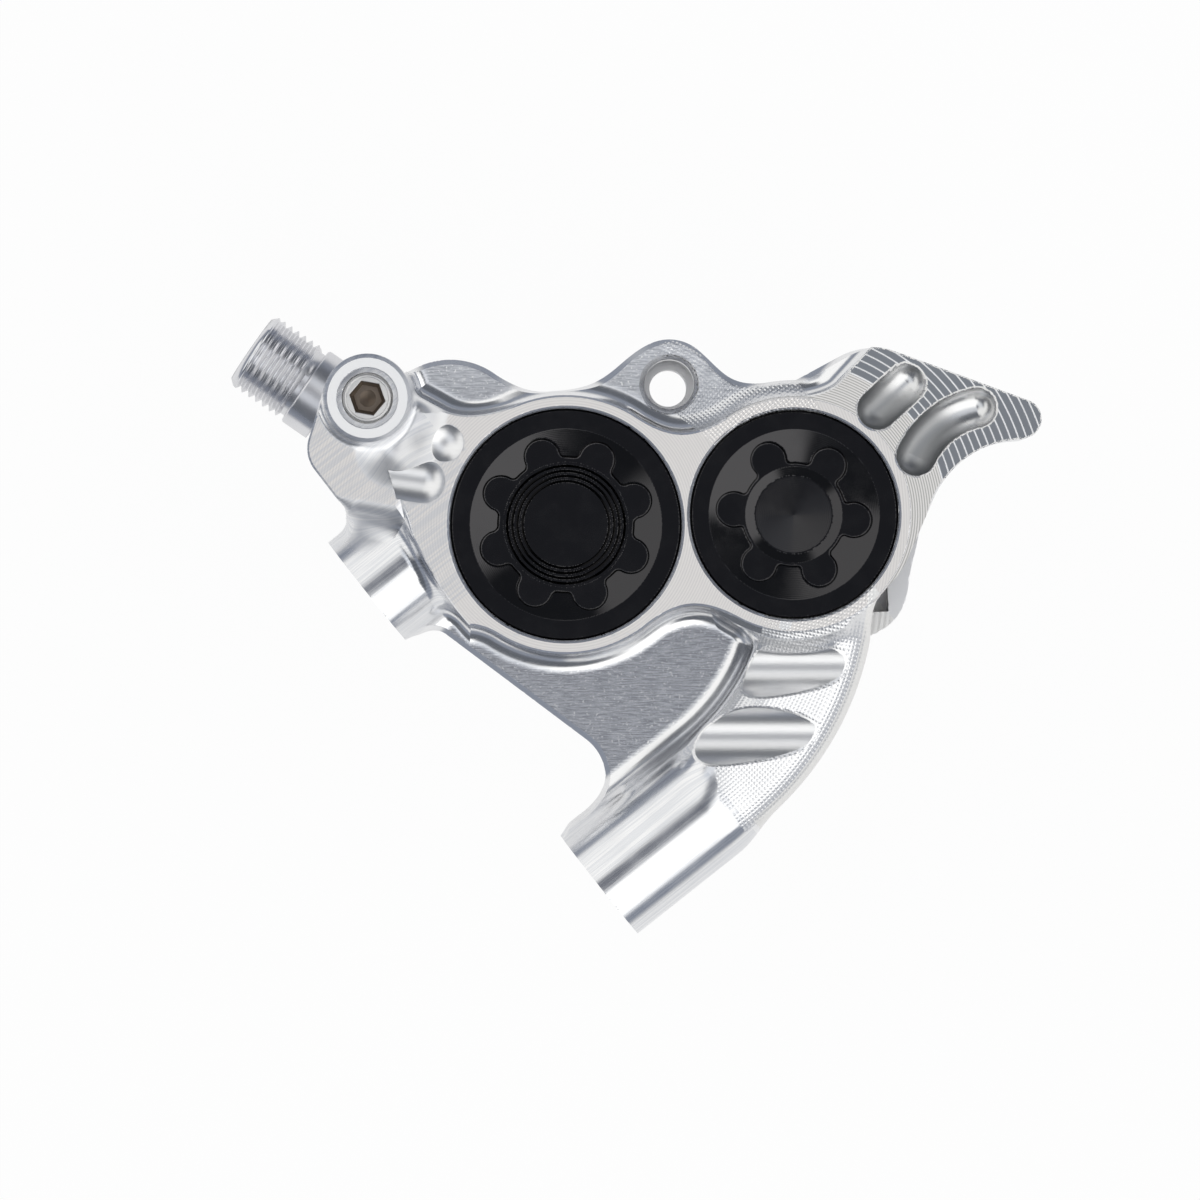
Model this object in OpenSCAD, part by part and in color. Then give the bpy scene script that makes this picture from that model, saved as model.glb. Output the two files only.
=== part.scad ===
// Four-piston disc brake caliper for a flat-mount bicycle frame, machined from one block.
// The frame: X runs along the line of the two mount bolts, Y along the bores and the rotor's axle
// (from the side with the caps towards the wheel), Z stands off the mounting plane.
// The origin lies midway between the two mount bolts, on the mounting plane.

/* [Mounting] */
// Distance between the two mount bolts
bolt_spacing = 34; // [33:0.1:36]
// Radius of the two mount bosses
boss_r = 5.5; // [4.6:0.1:6]
// Radius of the mount bolt holes
bolt_hole_r = 2.5; // [1.8:0.1:2.8]
// Depth of the mount bolt holes
bolt_hole_depth = 7; // [5:0.5:7.5]

/* [Rotor] */
// Radius of the rotor that the caliper is made for
rotor_r = 70; // [69:0.5:70.5]
// Thickness of that rotor
rotor_t = 1.8; // [1.5:0.1:2.2]
// Place of the wheel axle along the bolt line
axle_x = 45.1; // [44.5:0.1:46]
// Height of the wheel axle over the mounting plane
axle_z = -10.7; // [-11.5:0.1:-10]
// Distance from the bolt line to the middle plane of the rotor
rotor_y = 13; // [12.8:0.1:14]
// Gap between the rim of the rotor and the bridges of the body
rim_gap = 2; // [1.5:0.1:2.3]
// Half the width of the slot that the rotor turns in
slot_half = 3; // [2.6:0.1:3.2]

/* [Pistons and bores] */
// Radius of the large pistons
large_piston_r = 9; // [8.6:0.1:9.1]
// Radius of the small pistons
small_piston_r = 8; // [7.6:0.1:8.1]
// Place of the large bore along the bolt line
large_x = -10.4; // [-10.6:0.1:-10.2]
// Height of the large bore
large_z = 17.8; // [17.6:0.1:18]
// Place of the small bore along the bolt line
small_x = 1.6; // [1.4:0.1:1.8]
// Height of the small bore
small_z = 34.4; // [34.2:0.1:34.6]
// Length of each piston
piston_len = 8; // [7.4:0.1:8.2]
// Depth of the hollow in the front of each piston
piston_hollow = 5; // [3:0.5:6]
// Wall round that hollow
piston_wall = 2.4; // [1.8:0.1:3.5]
// Radial running clearance of the pistons
piston_fit = 0.04; // [0.02:0.01:0.08]
// How far the retracted pistons stand out of their bores
piston_proud = 0.3; // [0.2:0.05:0.5]

/* [Seals] */
// Radial thickness of the pressure seals
seal_t = 1.1; // [0.8:0.05:1.15]
// Width of the pressure seals
seal_w = 2; // [1.6:0.1:2.2]
// Distance from the mouth of a bore to its pressure seal
seal_at = 2.3; // [2.1:0.1:2.6]
// Radial thickness of the wiper seals
wiper_t = 0.8; // [0.6:0.05:0.9]
// Width of the wiper seals
wiper_w = 0.8; // [0.6:0.05:0.9]
// Distance from the mouth of a bore to its wiper seal
wiper_at = 0.6; // [0.5:0.05:0.8]
// Radial clearance between a seal and its piston
seal_fit = 0.03; // [0.02:0.01:0.06]

/* [Brake pads] */
// Length of the backplates
pad_len = 37.2; // [35:0.2:37.4]
// Edge of the backplates towards the axle, from the line of the pistons
pad_low = 8.8; // [8:0.1:9]
// Edge of the backplates towards the rim, from the line of the pistons
pad_high = 8.4; // [7.5:0.1:9]
// Thickness of the backplates
backplate_t = 1.8; // [1.4:0.1:2]
// Radius of the ear round the pad pin
ear_r = 3.6; // [3.4:0.1:3.9]
// How much larger the hole of the ear is than the pin hole, all round
ear_play = 0.35; // [0.3:0.05:0.5]
// Width of the neck that carries the ear
ear_neck = 6.8; // [5:0.2:6.8]
// Thickness of the friction linings
lining_t = 2.4; // [1.6:0.1:2.6]
// Depth of the dust groove across each lining
dust_groove_depth = 1.6; // [0.8:0.1:2]
// Width of that groove
dust_groove_w = 1.2; // [0.8:0.1:2]
// Margin of the backplate round the lining
lining_margin = 0.8; // [0.5:0.1:1.5]
// Half the width of the pocket that the pads slide in
pocket_half = 7; // [6.8:0.1:7.4]
// Clearance between a pad and the end walls of its pocket
pad_gap = 0.3; // [0.2:0.05:0.4]

/* [Outer half] */
// Distance from the bolt line out to the ring faces
ring_face = 7.5; // [7.2:0.1:8]
// Wall of the ring round the large cap
large_ring_wall = 1.2; // [1:0.1:1.6]
// Wall of the ring round the small cap
small_ring_wall = 1.15; // [1:0.05:1.6]
// Rounding between the two rings
ring_blend_r = 6; // [4:0.5:7]
// How far the humps lie inwards of the bolt line
hump_in = 0.5; // [0:0.1:1.2]
// How far the edge of the humps stands round the towers
hump_flange = 0.9; // [0.6:0.1:1.2]
// Radius of the pad pin boss
pin_boss_r = 4.05; // [3.8:0.05:4.3]
// Radius of the pad pin hole in the outer half
pin_clear_r = 2.25; // [2.1:0.05:2.4]
// Radius of the pad pin thread in the inner half
pin_thread_r = 1.7; // [1.5:0.05:1.8]
// Radius of the chamfer round the pad pin hole
pin_chamfer_r = 2.7; // [2.5:0.05:2.9]
// Place of the pad pin along the bolt line
pin_x = -14.6; // [-14.8:0.1:-14.4]
// Height of the pad pin
pin_z = 33; // [32.8:0.1:33.2]

/* [Inner half] */
// Thickness of the plate of the inner half, outside the pad pocket
inner_plate_t = 5.5; // [4.5:0.1:6]
// Distance from the rotor's middle plane to the closed ends of the inner bores
inner_end = 17.5; // [17:0.1:18.5]
// Length of the inner half along the pads
inner_len = 41.6; // [41:0.2:43]
// Reach of the inner half towards the axle
inner_low = 11.4; // [11:0.1:12]
// Reach of the inner half towards the rim
inner_high = 10.5; // [10:0.1:11]
// Corner radius of the inner half
inner_corner_r = 5; // [4:0.1:6]

/* [Caps] */
// Radius of the large cap
large_cap_r = 10.4; // [10.3:0.05:10.5]
// Radius of the small cap
small_cap_r = 9.35; // [9.2:0.05:9.4]
// Radial clearance round the heads of the caps
cap_gap = 0.08; // [0.05:0.01:0.1]
// How far the caps lie below the ring faces
cap_recess = 0.35; // [0.1:0.05:0.8]
// Thickness of the head of a cap
cap_head = 1.7; // [1.4:0.1:2]
// Length of the thread of a cap
cap_thread = 2; // [1.6:0.1:2.2]
// How far the thread is smaller than the head
cap_shoulder = 0.35; // [0.25:0.05:0.5]
// Length of the neck that holds the O-ring
cap_neck = 1; // [0.9:0.1:1.2]
// Radial thickness of the cap O-rings
oring_t = 0.9; // [0.7:0.05:1]
// Depth of the key recesses
key_depth = 2.2; // [1.6:0.1:2.6]
// Radius of the rim of the large key recess
large_key_r = 8.6; // [8.2:0.1:8.9]
// Radius of the rim of the small key recess
small_key_r = 7.65; // [7.5:0.05:7.7]
// Depth that the dished rings round the recesses fall
dish_depth = 1.15; // [0.8:0.05:1.4]
// Radius of the round well in the large cap
large_well_r = 6.1; // [5.8:0.05:6.2]
// Radius of the round well in the small cap
small_well_r = 4.65; // [4.4:0.05:4.8]
// Radius of one lobe in the large cap
large_lobe_r = 1.6; // [1.4:0.05:1.65]
// Radius of one lobe in the small cap
small_lobe_r = 1.6; // [1.4:0.05:1.65]
// Distance of the lobes from the middle of the large cap
large_lobe_at = 6.45; // [6.2:0.05:6.6]
// Distance of the lobes from the middle of the small cap
small_lobe_at = 5.4; // [5.3:0.05:5.5]
// Turn of the lobes of the large cap, in degrees
large_lobe_turn = 71; // [50:1:90]
// Turn of the lobes of the small cap, in degrees
small_lobe_turn = 46.5; // [20:0.5:70]
// Radius of the top of the hub in the large cap
hub_r = 3.55; // [3.2:0.05:3.8]
// How far the top of the hub lies below the face of the cap
hub_drop = 0.35; // [0.2:0.05:0.6]
// Radius of the centre hole in the small cap
eye_r = 3.55; // [3.3:0.05:3.8]

/* [Hose fitting and bleed screw] */
// Place of the bleed screw along the bolt line
bleed_x = -30.3; // [-30.5:0.1:-30.1]
// Height of the bleed screw
bleed_z = 10.9; // [10.7:0.1:11.1]
// Radius of the bleed boss
bleed_boss_r = 3.95; // [3.8:0.05:4.2]
// Height of the bleed boss over the ring faces
bleed_boss_h = 1; // [0.5:0.1:1.5]
// Radius of the bleed screw
bleed_r = 2.3; // [2.2:0.05:2.5]
// Length of the bleed screw
bleed_len = 4.6; // [4.2:0.1:4.8]
// Width of its hexagon socket across the flats
bleed_key = 2.9; // [2.5:0.1:3]
// Radius of the hose thread
hose_thread_r = 3.75; // [3.6:0.05:4]
// Radius of the plain neck behind the thread
hose_neck_r = 3.85; // [3.8:0.05:4.1]
// Radius of the relief groove between the thread and the neck
hose_relief_r = 3.3; // [3:0.1:3.4]
// Width of that groove
hose_relief_w = 0.7; // [0.5:0.1:1]
// Length of the threaded part
hose_thread_len = 5.2; // [4:0.1:6]
// Length of the plain neck
hose_neck_len = 3.4; // [2.6:0.1:4]
// Height of the middle of the fitting's outer end
hose_end_z = 5.4; // [5.2:0.1:5.6]
// Place of the fitting's outer end along the bolt line
hose_end_x = -40.6; // [-40.8:0.1:-40.4]
// Slope of the fitting against the bolt line, in degrees
hose_slope = 17; // [16:0.5:18]
// How far the fitting's axis lies inwards of the bolt line
hose_in = 3; // [2.6:0.1:3.4]
// Radius of the spigot inside the port
spigot_r = 2.7; // [2.4:0.1:2.9]
// Length of the spigot inside the port
spigot_len = 4; // [3.4:0.1:4.4]
// Radius of the tip of the spigot
spigot_tip_r = 1.8; // [1.6:0.1:1.9]
// Radius of the drilled fluid passages
passage_r = 0.8; // [0.6:0.05:0.9]

/* [Beak] */
// Place of the tip of the beak along the bolt line
tip_x = 7.6; // [7.2:0.1:8]
// Height of the tip of the beak
tip_z = 55.9; // [55:0.1:56.5]
// Radius of the tip
tip_r = 1.75; // [1.4:0.05:2]
// Number of milled terraces on the beak
terraces = 19; // [8:1:22]
// Height of one terrace
terrace_h = 0.22; // [0.15:0.01:0.26]
// Length along the pads of the bridge at the root of the beak
beak_bridge = 6.5; // [5:0.5:8]
// Radius of the ball-ended grooves in the beak
beak_groove_r = 1.8; // [1.6:0.05:1.9]
// Radius of the bay on the inner side of the beak
bay_r = 9; // [8.5:0.1:9.5]
// Radius of the beak's root at the level of the hump
root_r = 5.9; // [5.6:0.1:6.1]
// How far the terraced top stands back from the outline of the root
root_inset = 1.8; // [1.2:0.1:2]

/* [Arm] */
// Radius of the bend of the arm, at its middle
bend_r = 23.4; // [23:0.1:24]
// Height at which the bend starts
bend_z = 14.5; // [13.5:0.5:15]
// Angle that the arm turns through
bend_angle = 45; // [40:1:48]
// Rounding of the inner shoulder of the arm
arm_shoulder_r = 3.6; // [3:0.1:4]
// Rounding of the outer rim of the arm
arm_rim_r = 2.4; // [2:0.1:2.8]
// How much narrower the arm is than the mount boss, at its outer side
arm_slim = 0.9; // [0.5:0.1:1.2]
// Radius of the two grooves across the arm
arm_groove_r = 3; // [2.4:0.1:3.2]
// Depth of the two grooves across the arm
arm_groove_depth = 1.2; // [0.8:0.1:1.6]

/* [Hidden] */
$fn = 64;

alloy = "gainsboro";
black = [0.06, 0.06, 0.07];
rubber = [0.12, 0.12, 0.13];
steel = [0.62, 0.6, 0.57];

eps = 0.05;
far = 60;

// Levels along Y
face_y = -ring_face;
hump_y = hump_in;
mouth_outer_y = rotor_y - pocket_half;
mouth_inner_y = rotor_y + pocket_half;
slot_outer_y = rotor_y - slot_half;
slot_inner_y = rotor_y + slot_half;
plate_back_y = mouth_inner_y + inner_plate_t;
back_y = rotor_y + inner_end;
cap_face_y = face_y + cap_recess;
cap_seat_y = cap_face_y + cap_head;
cap_neck_y = cap_seat_y + cap_thread;
cap_end_y = cap_neck_y + cap_neck;
closed_wall = 1.7;
chamber_end_y = back_y - closed_wall;

// The pads' own frame: along runs through both bores, out points from the axle to the rim
large_at = [large_x, large_z];
small_at = [small_x, small_z];
pin_at = [pin_x, pin_z];
bleed_at = [bleed_x, bleed_z];
axle_at = [axle_x, axle_z];
middle_at = (large_at + small_at) / 2;
bores_apart = norm(small_at - large_at);
pad_turn = atan2(small_z - large_z, small_x - large_x);
along = [cos(pad_turn), sin(pad_turn)];
out = [-sin(pad_turn), cos(pad_turn)];
pin_out = (pin_at - middle_at) * out;
pin_along = (pin_at - middle_at) * along;
rim_r = rotor_r + rim_gap;
pocket_len = pad_len + 2 * pad_gap;

// Outlines round the bores
large_mouth_r = large_cap_r + cap_gap;
small_mouth_r = small_cap_r + cap_gap;
large_tower_r = large_mouth_r + large_ring_wall;
small_tower_r = small_mouth_r + small_ring_wall;
large_hump_r = large_tower_r + hump_flange - 0.3;
small_hump_r = small_tower_r + hump_flange + 0.7;

// The hump beside the port block, and the port block itself
hump_at = [-23.2, 14.6];
hump_r = 6.9;
port_corner_at = [-28.2, 6.15];
port_corner_r = 3.1;
port_top_y = face_y;
port_back_y = hump_y + 3;
port_low_z = 3;
plate_low_z = 6.9;

// Hose fitting
hose_dir = [cos(hose_slope), sin(hose_slope)];
hose_end = [hose_end_x, hose_end_z];
hose_len = hose_thread_len + hose_neck_len;
hose_y = hose_in;
port_at = hose_end + hose_dir * hose_len;
port_len = spigot_len + 1;
cross_at = port_at + hose_dir * (port_len + 1.5);
seat_gap = 0.05;
neck_fit = 0.02;

// Ends of the bleed screw and its hole
bleed_face_y = face_y - bleed_boss_h;
bleed_end_y = bleed_face_y + bleed_len;

// The arm: middle of its bend, level of its outer rim, and the grooves across it
arm_x = bolt_spacing / 2 - bend_r;
arm_rim_y = 1.95;
arm_groove_starts = [[8.6, 21.2], [10.4, 13.4]];
arm_groove_way = [0.621, 0.784];

// The arch hollowed under the web
arch_at = [7, 2.9];
arch_r = 4.45;
arch_foot_at = [-9, 0.6];
arch_foot_r = 2.6;

// The beak: its root, the bay on its inner side, and its two grooves
tip_at = [tip_x, tip_z];
root_at = small_at + [-2.8, 11.2];
root_side = 189.3;
bay_at = tip_at + [8.6, -6.6];
bay_run = [5.5, -10.9];
groove_near = [-1.15, 46.15];
groove_near_end = [-1.4, 49.6];
groove_far = [4.28, 46.2];
groove_bend = [3.5, 49.3];
groove_far_end = [4.35, 53.4];
// Each stretch of the grooves: its ends, and the depth of its floor under the ring faces
groove_runs = [
  [groove_near, groove_near_end, 3.6],
  [groove_far, groove_bend, 3.7],
  [groove_bend, groove_far_end, 4.6]
];

// Cuts in the raised plate beside the bleed boss: a channel, a short groove and a dimple
channel_at = [-29.4, 15.9];
channel_end = [-25.2, 10.1];
channel_r = 2.75;
channel_deep = 1.5;
leaf_at = [-24.54, 6.86];
leaf_end = [-21.19, 10];
leaf_r = 2.6;
leaf_deep = 0.7;
leaf_side = [[-25.05, 8.71], [-21.79, 7.42]];
dimple_at = [-22.87, 13.84];
dimple_r = 3;
dimple_deep = 0.5;

// A flat shape in the X-Z plane made as thick as the stretch from y0 to y1
module slab(y0, y1)
  translate([0, y1, 0])
    rotate([90, 0, 0])
      linear_extrude(y1 - y0)
        children();

// A cylinder along Y
module rod_y(at, r, y0, y1)
  translate([at[0], y1, at[1]])
    rotate([90, 0, 0])
      cylinder(r = r, h = y1 - y0);

// A cone along Y, with radius r0 at y0 and r1 at y1
module cone_y(at, r0, r1, y0, y1)
  translate([at[0], y1, at[1]])
    rotate([90, 0, 0])
      cylinder(r1 = r1, r2 = r0, h = y1 - y0);

// A shape turned about an axis along Y: its points are [radius, -y]
module turned(at)
  translate([at[0], 0, at[1]])
    rotate([90, 0, 0])
      rotate_extrude($fn = 96)
        children();

// A flat ring about a bore
module ring_y(at, r_in, r_out, y0, y1)
  turned(at)
    translate([r_in, -y1])
      square([r_out - r_in, y1 - y0]);

// A cylinder from a point in the X-Z plane at height y, along a direction in that plane
module rod_flat(at, dir, y, r, len)
  translate([at[0], y, at[1]])
    rotate([0, 90 - atan2(dir[1], dir[0]), 0])
      cylinder(r = r, h = len);

// Flat shapes drawn in the pads' own frame
module pad_frame()
  translate(middle_at)
    rotate(pad_turn)
      children();

module disc_at(at, r)
  translate(at)
    circle(r);

// The corner between two discs filled out to a hollow round of radius rf, on one side of them
module hollow_blend(a, ra, b, rb, rf, side) {
  d = norm(b - a);
  u = (b - a) / d;
  n = [-u[1], u[0]] * side;
  s = ((ra + rf) * (ra + rf) - (rb + rf) * (rb + rf) + d * d) / (2 * d);
  h = sqrt((ra + rf) * (ra + rf) - s * s);
  c = a + u * s + n * h;
  difference() {
    polygon([a, b, c]);
    disc_at(c, rf + 0.02);
  }
}

// Two discs and the band between their outer tangents
module link(a, ra, b, rb) {
  d = norm(b - a);
  turn = atan2(b[1] - a[1], b[0] - a[0]);
  lean = acos((ra - rb) / d);
  touch = 0.004;
  polygon([
    for (s = [-1, 1]) a + (ra - touch) * [cos(turn + s * lean), sin(turn + s * lean)],
    for (s = [1, -1]) b + (rb - touch) * [cos(turn + s * lean), sin(turn + s * lean)]
  ]);
  disc_at(a, ra);
  disc_at(b, rb);
}

// A rectangle from low to high with round corners
module round_box(low, high, r) {
  translate([low[0] + r, low[1]])
    square([high[0] - low[0] - 2 * r, high[1] - low[1]]);
  translate([low[0], low[1] + r])
    square([high[0] - low[0], high[1] - low[1] - 2 * r]);
  for (x = [low[0] + r, high[0] - r], y = [low[1] + r, high[1] - r])
    disc_at([x, y], r);
}

// Outline of the two towers at the level of the ring faces
module towers_flat() {
  disc_at(large_at, large_tower_r);
  disc_at(small_at, small_tower_r);
  hollow_blend(large_at, large_tower_r, small_at, small_tower_r, ring_blend_r, 1);
  hollow_blend(large_at, large_tower_r, small_at, small_tower_r, ring_blend_r, -1);
}

// The raised plate between the large tower and the port block
module raised_plate_flat()
  polygon([
    large_at,
    [large_x, plate_low_z],
    [-20.5, plate_low_z],
    [port_corner_at[0] + 2, port_low_z + 2],
    [bleed_x + bleed_boss_r, bleed_z + 3.2],
    [-23.7, 16.6],
    [-22, 18.6]
  ]);

// The port block under the bleed boss
module port_block_flat() {
  low_at = [-25, port_low_z + 1.5];
  link(bleed_at, bleed_boss_r + 0.1, port_corner_at, port_corner_r);
  link(port_corner_at, port_corner_r, low_at, 1.5);
  link([-23.4, 11], 3, bleed_at, bleed_boss_r + 0.1);
  polygon([bleed_at, port_corner_at, low_at, [-23.4, 11]]);
  polygon([[-17, 4], [-23, port_low_z + 0.3], [-26, port_low_z + 1], [-22, 14]]);
}

// The humps, the pad pin boss and the feet of the towers
module humps_flat() {
  disc_at(hump_at, hump_r);
  disc_at(pin_at, pin_boss_r);
  disc_at(large_at, large_hump_r);
  disc_at(small_at, small_hump_r);
  hollow_blend(hump_at, hump_r, large_at, large_hump_r, 4, 1);
  hollow_blend(large_at, large_hump_r, pin_at, pin_boss_r, 8, 1);
  hollow_blend(pin_at, pin_boss_r, small_at, small_hump_r, 6, 1);
  polygon([large_at, small_at, pin_at]);
}

// The web between the bosses, hollowed from below
module web_flat()
  difference() {
    polygon([
      [-bolt_spacing / 2, 1.5],
      [bolt_spacing / 2, 1.5],
      [bolt_spacing / 2, 14],
      [14, 24],
      [small_x + 6, small_z - 4],
      large_at,
      [-bolt_spacing / 2 - 2, 9]
    ]);
    link(arch_at, arch_r, arch_foot_at, arch_foot_r);
    translate([-bolt_spacing / 2, -9])
      square([bolt_spacing, 11]);
  }

// Outline of the beak
module beak_flat()
  difference() {
    union() {
      link(small_at, small_tower_r, root_at, root_r);
      link(root_at, root_r, tip_at, tip_r);
      polygon([small_at, root_at, tip_at, tip_at + [tip_r, -1], small_at + [10, 2]]);
    }
    link(bay_at, bay_r, bay_at + bay_run, bay_r);
  }

// Outline of the terraced part, which leaves a ledge beside the root
module beak_top_flat()
  difference() {
    beak_flat();
    translate(root_at)
      rotate(root_side)
        translate([root_r - root_inset, -far / 2])
          square([far, far]);
  }

// The beak's outer face falls away from the small tower in round terraces
function terrace_r(i) = small_tower_r - 0.3 + 0.4 * i + 0.0145 * i * i;

module terraced_block() {
  outer = terrace_r(terraces) + 6;
  steps = [for (i = [0 : terraces - 1])
    each [[terrace_r(i), ring_face - i * terrace_h], [terrace_r(i), ring_face - (i + 1) * terrace_h]]];
  turned(small_at)
    polygon(concat(
      [[0, -slot_outer_y], [0, ring_face]],
      steps,
      [[outer, ring_face - terraces * terrace_h], [outer, -slot_outer_y]]
    ));
}

module beak_solid() {
  difference() {
    union() {
      intersection() {
        slab(face_y - 1, slot_outer_y) beak_top_flat();
        terraced_block();
      }
      slab(hump_y, slot_outer_y) beak_flat();
    }
    for (run = groove_runs)
      slab(face_y - 1, face_y + run[2])
        link(run[0], beak_groove_r, run[1], beak_groove_r);
  }
}

// A ball cutter run from one place to another, at one depth under the ring faces
module ball_run(from, to, r, deep) {
  y = face_y + deep - r;
  rod_flat(from, to - from, y, r, norm(to - from));
  translate([to[0], y, to[1]])
    sphere(r);
}

// Shallow cuts in the raised plate, beside the bleed boss
module plate_cuts() {
  ball_run(channel_at, channel_end, channel_r, channel_deep);
  intersection() {
    ball_run(leaf_at, leaf_end, leaf_r, leaf_deep);
    slab(face_y - 1, hump_y)
      polygon([leaf_side[0], leaf_side[1], leaf_side[1] + [6, 0], leaf_side[0] + [6, 6]]);
  }
  translate([dimple_at[0], face_y + dimple_deep - dimple_r, dimple_at[1]])
    sphere(dimple_r);
}

// The arm turns away from the right-hand mount boss and runs up to the small tower
module arm_solid() {
  rim = [bend_r + boss_r - arm_slim - arm_rim_r, arm_rim_y];
  shoulder = [bend_r - boss_r + arm_shoulder_r, boss_r - arm_shoulder_r];
  translate([arm_x, 0, bend_z])
    rotate([90, 0, 0])
      rotate_extrude(angle = bend_angle, $fn = 128) {
        link(shoulder, arm_shoulder_r, rim, arm_rim_r);
        translate([bend_r - boss_r, -slot_outer_y])
          square([2 * boss_r - arm_slim, slot_outer_y + arm_rim_y]);
      }
}

// Two shallow round grooves cross the arm
module arm_grooves()
  for (start = arm_groove_starts)
    rod_flat(start, arm_groove_way, -boss_r + arm_groove_depth - arm_groove_r, arm_groove_r, 18);

module mount_boss(side, len)
  translate([side * bolt_spacing / 2, 0, 0])
    cylinder(r = boss_r, h = len);

// Everything beyond the rim of the rotor joins the two halves
module bridges_flat() {
  difference() {
    union() {
      disc_at(hump_at, hump_r);
      port_block_flat();
    }
    disc_at(axle_at, rim_r);
    pad_frame()
      translate([-pocket_len / 2, -far / 2])
        square([pocket_len, far]);
  }
  difference() {
    beak_flat();
    disc_at(axle_at, rim_r);
    pad_frame()
      translate([-pocket_len / 2, -far / 2])
        square([pocket_len, far]);
    pad_frame()
      translate([pocket_len / 2 + beak_bridge, -far / 2])
        square([far, far]);
  }
}

// Outline of the inner half
module inner_flat() {
  pad_frame()
    round_box([-inner_len / 2, -inner_low], [inner_len / 2, inner_high], inner_corner_r);
  humps_flat();
  intersection() {
    beak_flat();
    pad_frame()
      translate([0, -far])
        square([pocket_len / 2 + beak_bridge, 2 * far]);
  }
  bridges_flat();
}

// End walls that the pads push against, in the outer half
module end_walls_flat()
  intersection() {
    union() {
      towers_flat();
      raised_plate_flat();
      humps_flat();
      beak_flat();
    }
    pad_frame()
      difference() {
        translate([-far / 2, -pad_low - 1])
          square([far, far]);
        translate([-pocket_len / 2, -far])
          square([pocket_len, 2 * far]);
      }
  }

module tower_bore(at, mouth_r, piston_r, end_y) {
  groove_r = piston_r + seal_fit + seal_t;
  wiper_r = piston_r + seal_fit + wiper_t;
  rod_y(at, mouth_r, face_y - 1, cap_seat_y);
  cone_y(at, mouth_r + 0.3, mouth_r, face_y, face_y + 0.3);
  rod_y(at, mouth_r - cap_gap - cap_shoulder, face_y - 1, cap_end_y);
  rod_y(at, piston_r + piston_fit, face_y - 1, chamber_end_y);
  for (sign = [-1, 1]) {
    mouth = sign < 0 ? mouth_outer_y : mouth_inner_y;
    seal_y0 = min(mouth + sign * seal_at, mouth + sign * (seal_at + seal_w));
    wiper_y0 = min(mouth + sign * wiper_at, mouth + sign * (wiper_at + wiper_w));
    rod_y(at, groove_r, seal_y0, seal_y0 + seal_w);
    rod_y(at, wiper_r, wiper_y0, wiper_y0 + wiper_w);
  }
}

module passages() {
  outer_y = cap_end_y + 0.35;
  inner_y = chamber_end_y - passage_r - 0.2;
  // The port, and the drilling on from its bottom
  rod_flat(port_at - hose_dir * 4, hose_dir, hose_y, hose_neck_r + neck_fit, 4);
  rod_flat(port_at - hose_dir, hose_dir, hose_y, spigot_r, port_len + 1);
  rod_flat(port_at, hose_dir, hose_y, passage_r, port_len + 1.5);
  // The drilling across the bridge, and those from it to the large bores and on to the small ones
  rod_y(cross_at, passage_r, outer_y, inner_y);
  for (y = [outer_y, inner_y]) {
    rod_flat(cross_at, large_at - cross_at, y, passage_r, norm(large_at - cross_at));
    rod_flat(large_at, along, y, passage_r, bores_apart);
  }
  // The seat and the drilling under the bleed screw
  rod_y(bleed_at, bleed_r, bleed_face_y - 1, bleed_end_y);
  cone_y(bleed_at, bleed_r + 0.5, bleed_r, bleed_face_y, bleed_face_y + 0.5);
  rod_y(bleed_at, passage_r, bleed_face_y, hose_y);
}

module caliper_body()
  color(alloy)
    difference() {
      union() {
        difference() {
          union() {
            slab(face_y, mouth_outer_y) {
              towers_flat();
              raised_plate_flat();
            }
            slab(port_top_y, port_back_y) port_block_flat();
          }
          plate_cuts();
        }
        slab(hump_y, mouth_outer_y) {
          humps_flat();
          web_flat();
        }
        slab(mouth_outer_y - eps, slot_outer_y) end_walls_flat();
        rod_y(bleed_at, bleed_boss_r, bleed_face_y, hump_y);
        beak_solid();
        mount_boss(-1, 8);
        mount_boss(1, bend_z);
        arm_solid();
        slab(hump_y + 2, plate_back_y) bridges_flat();
        slab(slot_inner_y, plate_back_y) inner_flat();
        rod_y(large_at, large_tower_r - 0.6, slot_inner_y, back_y);
        rod_y(small_at, small_tower_r - 0.6, slot_inner_y, back_y);
      }
      // Room for the rotor
      rod_y(axle_at, rim_r, slot_outer_y, slot_inner_y);
      // Room for the pads, open towards the rim
      slab(mouth_outer_y, mouth_inner_y)
        pad_frame()
          translate([-pocket_len / 2, -pad_low - pad_gap])
            square([pocket_len, far]);
      tower_bore(large_at, large_mouth_r, large_piston_r);
      tower_bore(small_at, small_mouth_r, small_piston_r);
      // Pad pin: plain hole in the outer half, thread in the inner half
      rod_y(pin_at, pin_clear_r, hump_y - 1, rotor_y);
      cone_y(pin_at, pin_chamfer_r, pin_clear_r, hump_y, hump_y + pin_chamfer_r - pin_clear_r);
      rod_y(pin_at, pin_thread_r, rotor_y, plate_back_y + 1);
      for (side = [-1, 1])
        translate([side * bolt_spacing / 2, 0, -1])
          cylinder(r = bolt_hole_r, h = bolt_hole_depth + 1);
      arm_grooves();
      passages();
    }

// A cap: head, thread, neck for the O-ring, and a lobed recess for the key
module cap_blank(at, cap_r)
  turned(at)
    polygon([
      [0, -cap_face_y],
      [cap_r - 0.25, -cap_face_y],
      [cap_r, -cap_face_y - 0.25],
      [cap_r, -cap_seat_y],
      [cap_r - cap_shoulder, -cap_seat_y],
      [cap_r - cap_shoulder, -cap_neck_y],
      [cap_r - cap_shoulder - oring_t, -cap_neck_y],
      [cap_r - cap_shoulder - oring_t, -cap_end_y],
      [0, -cap_end_y]
    ]);

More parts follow.
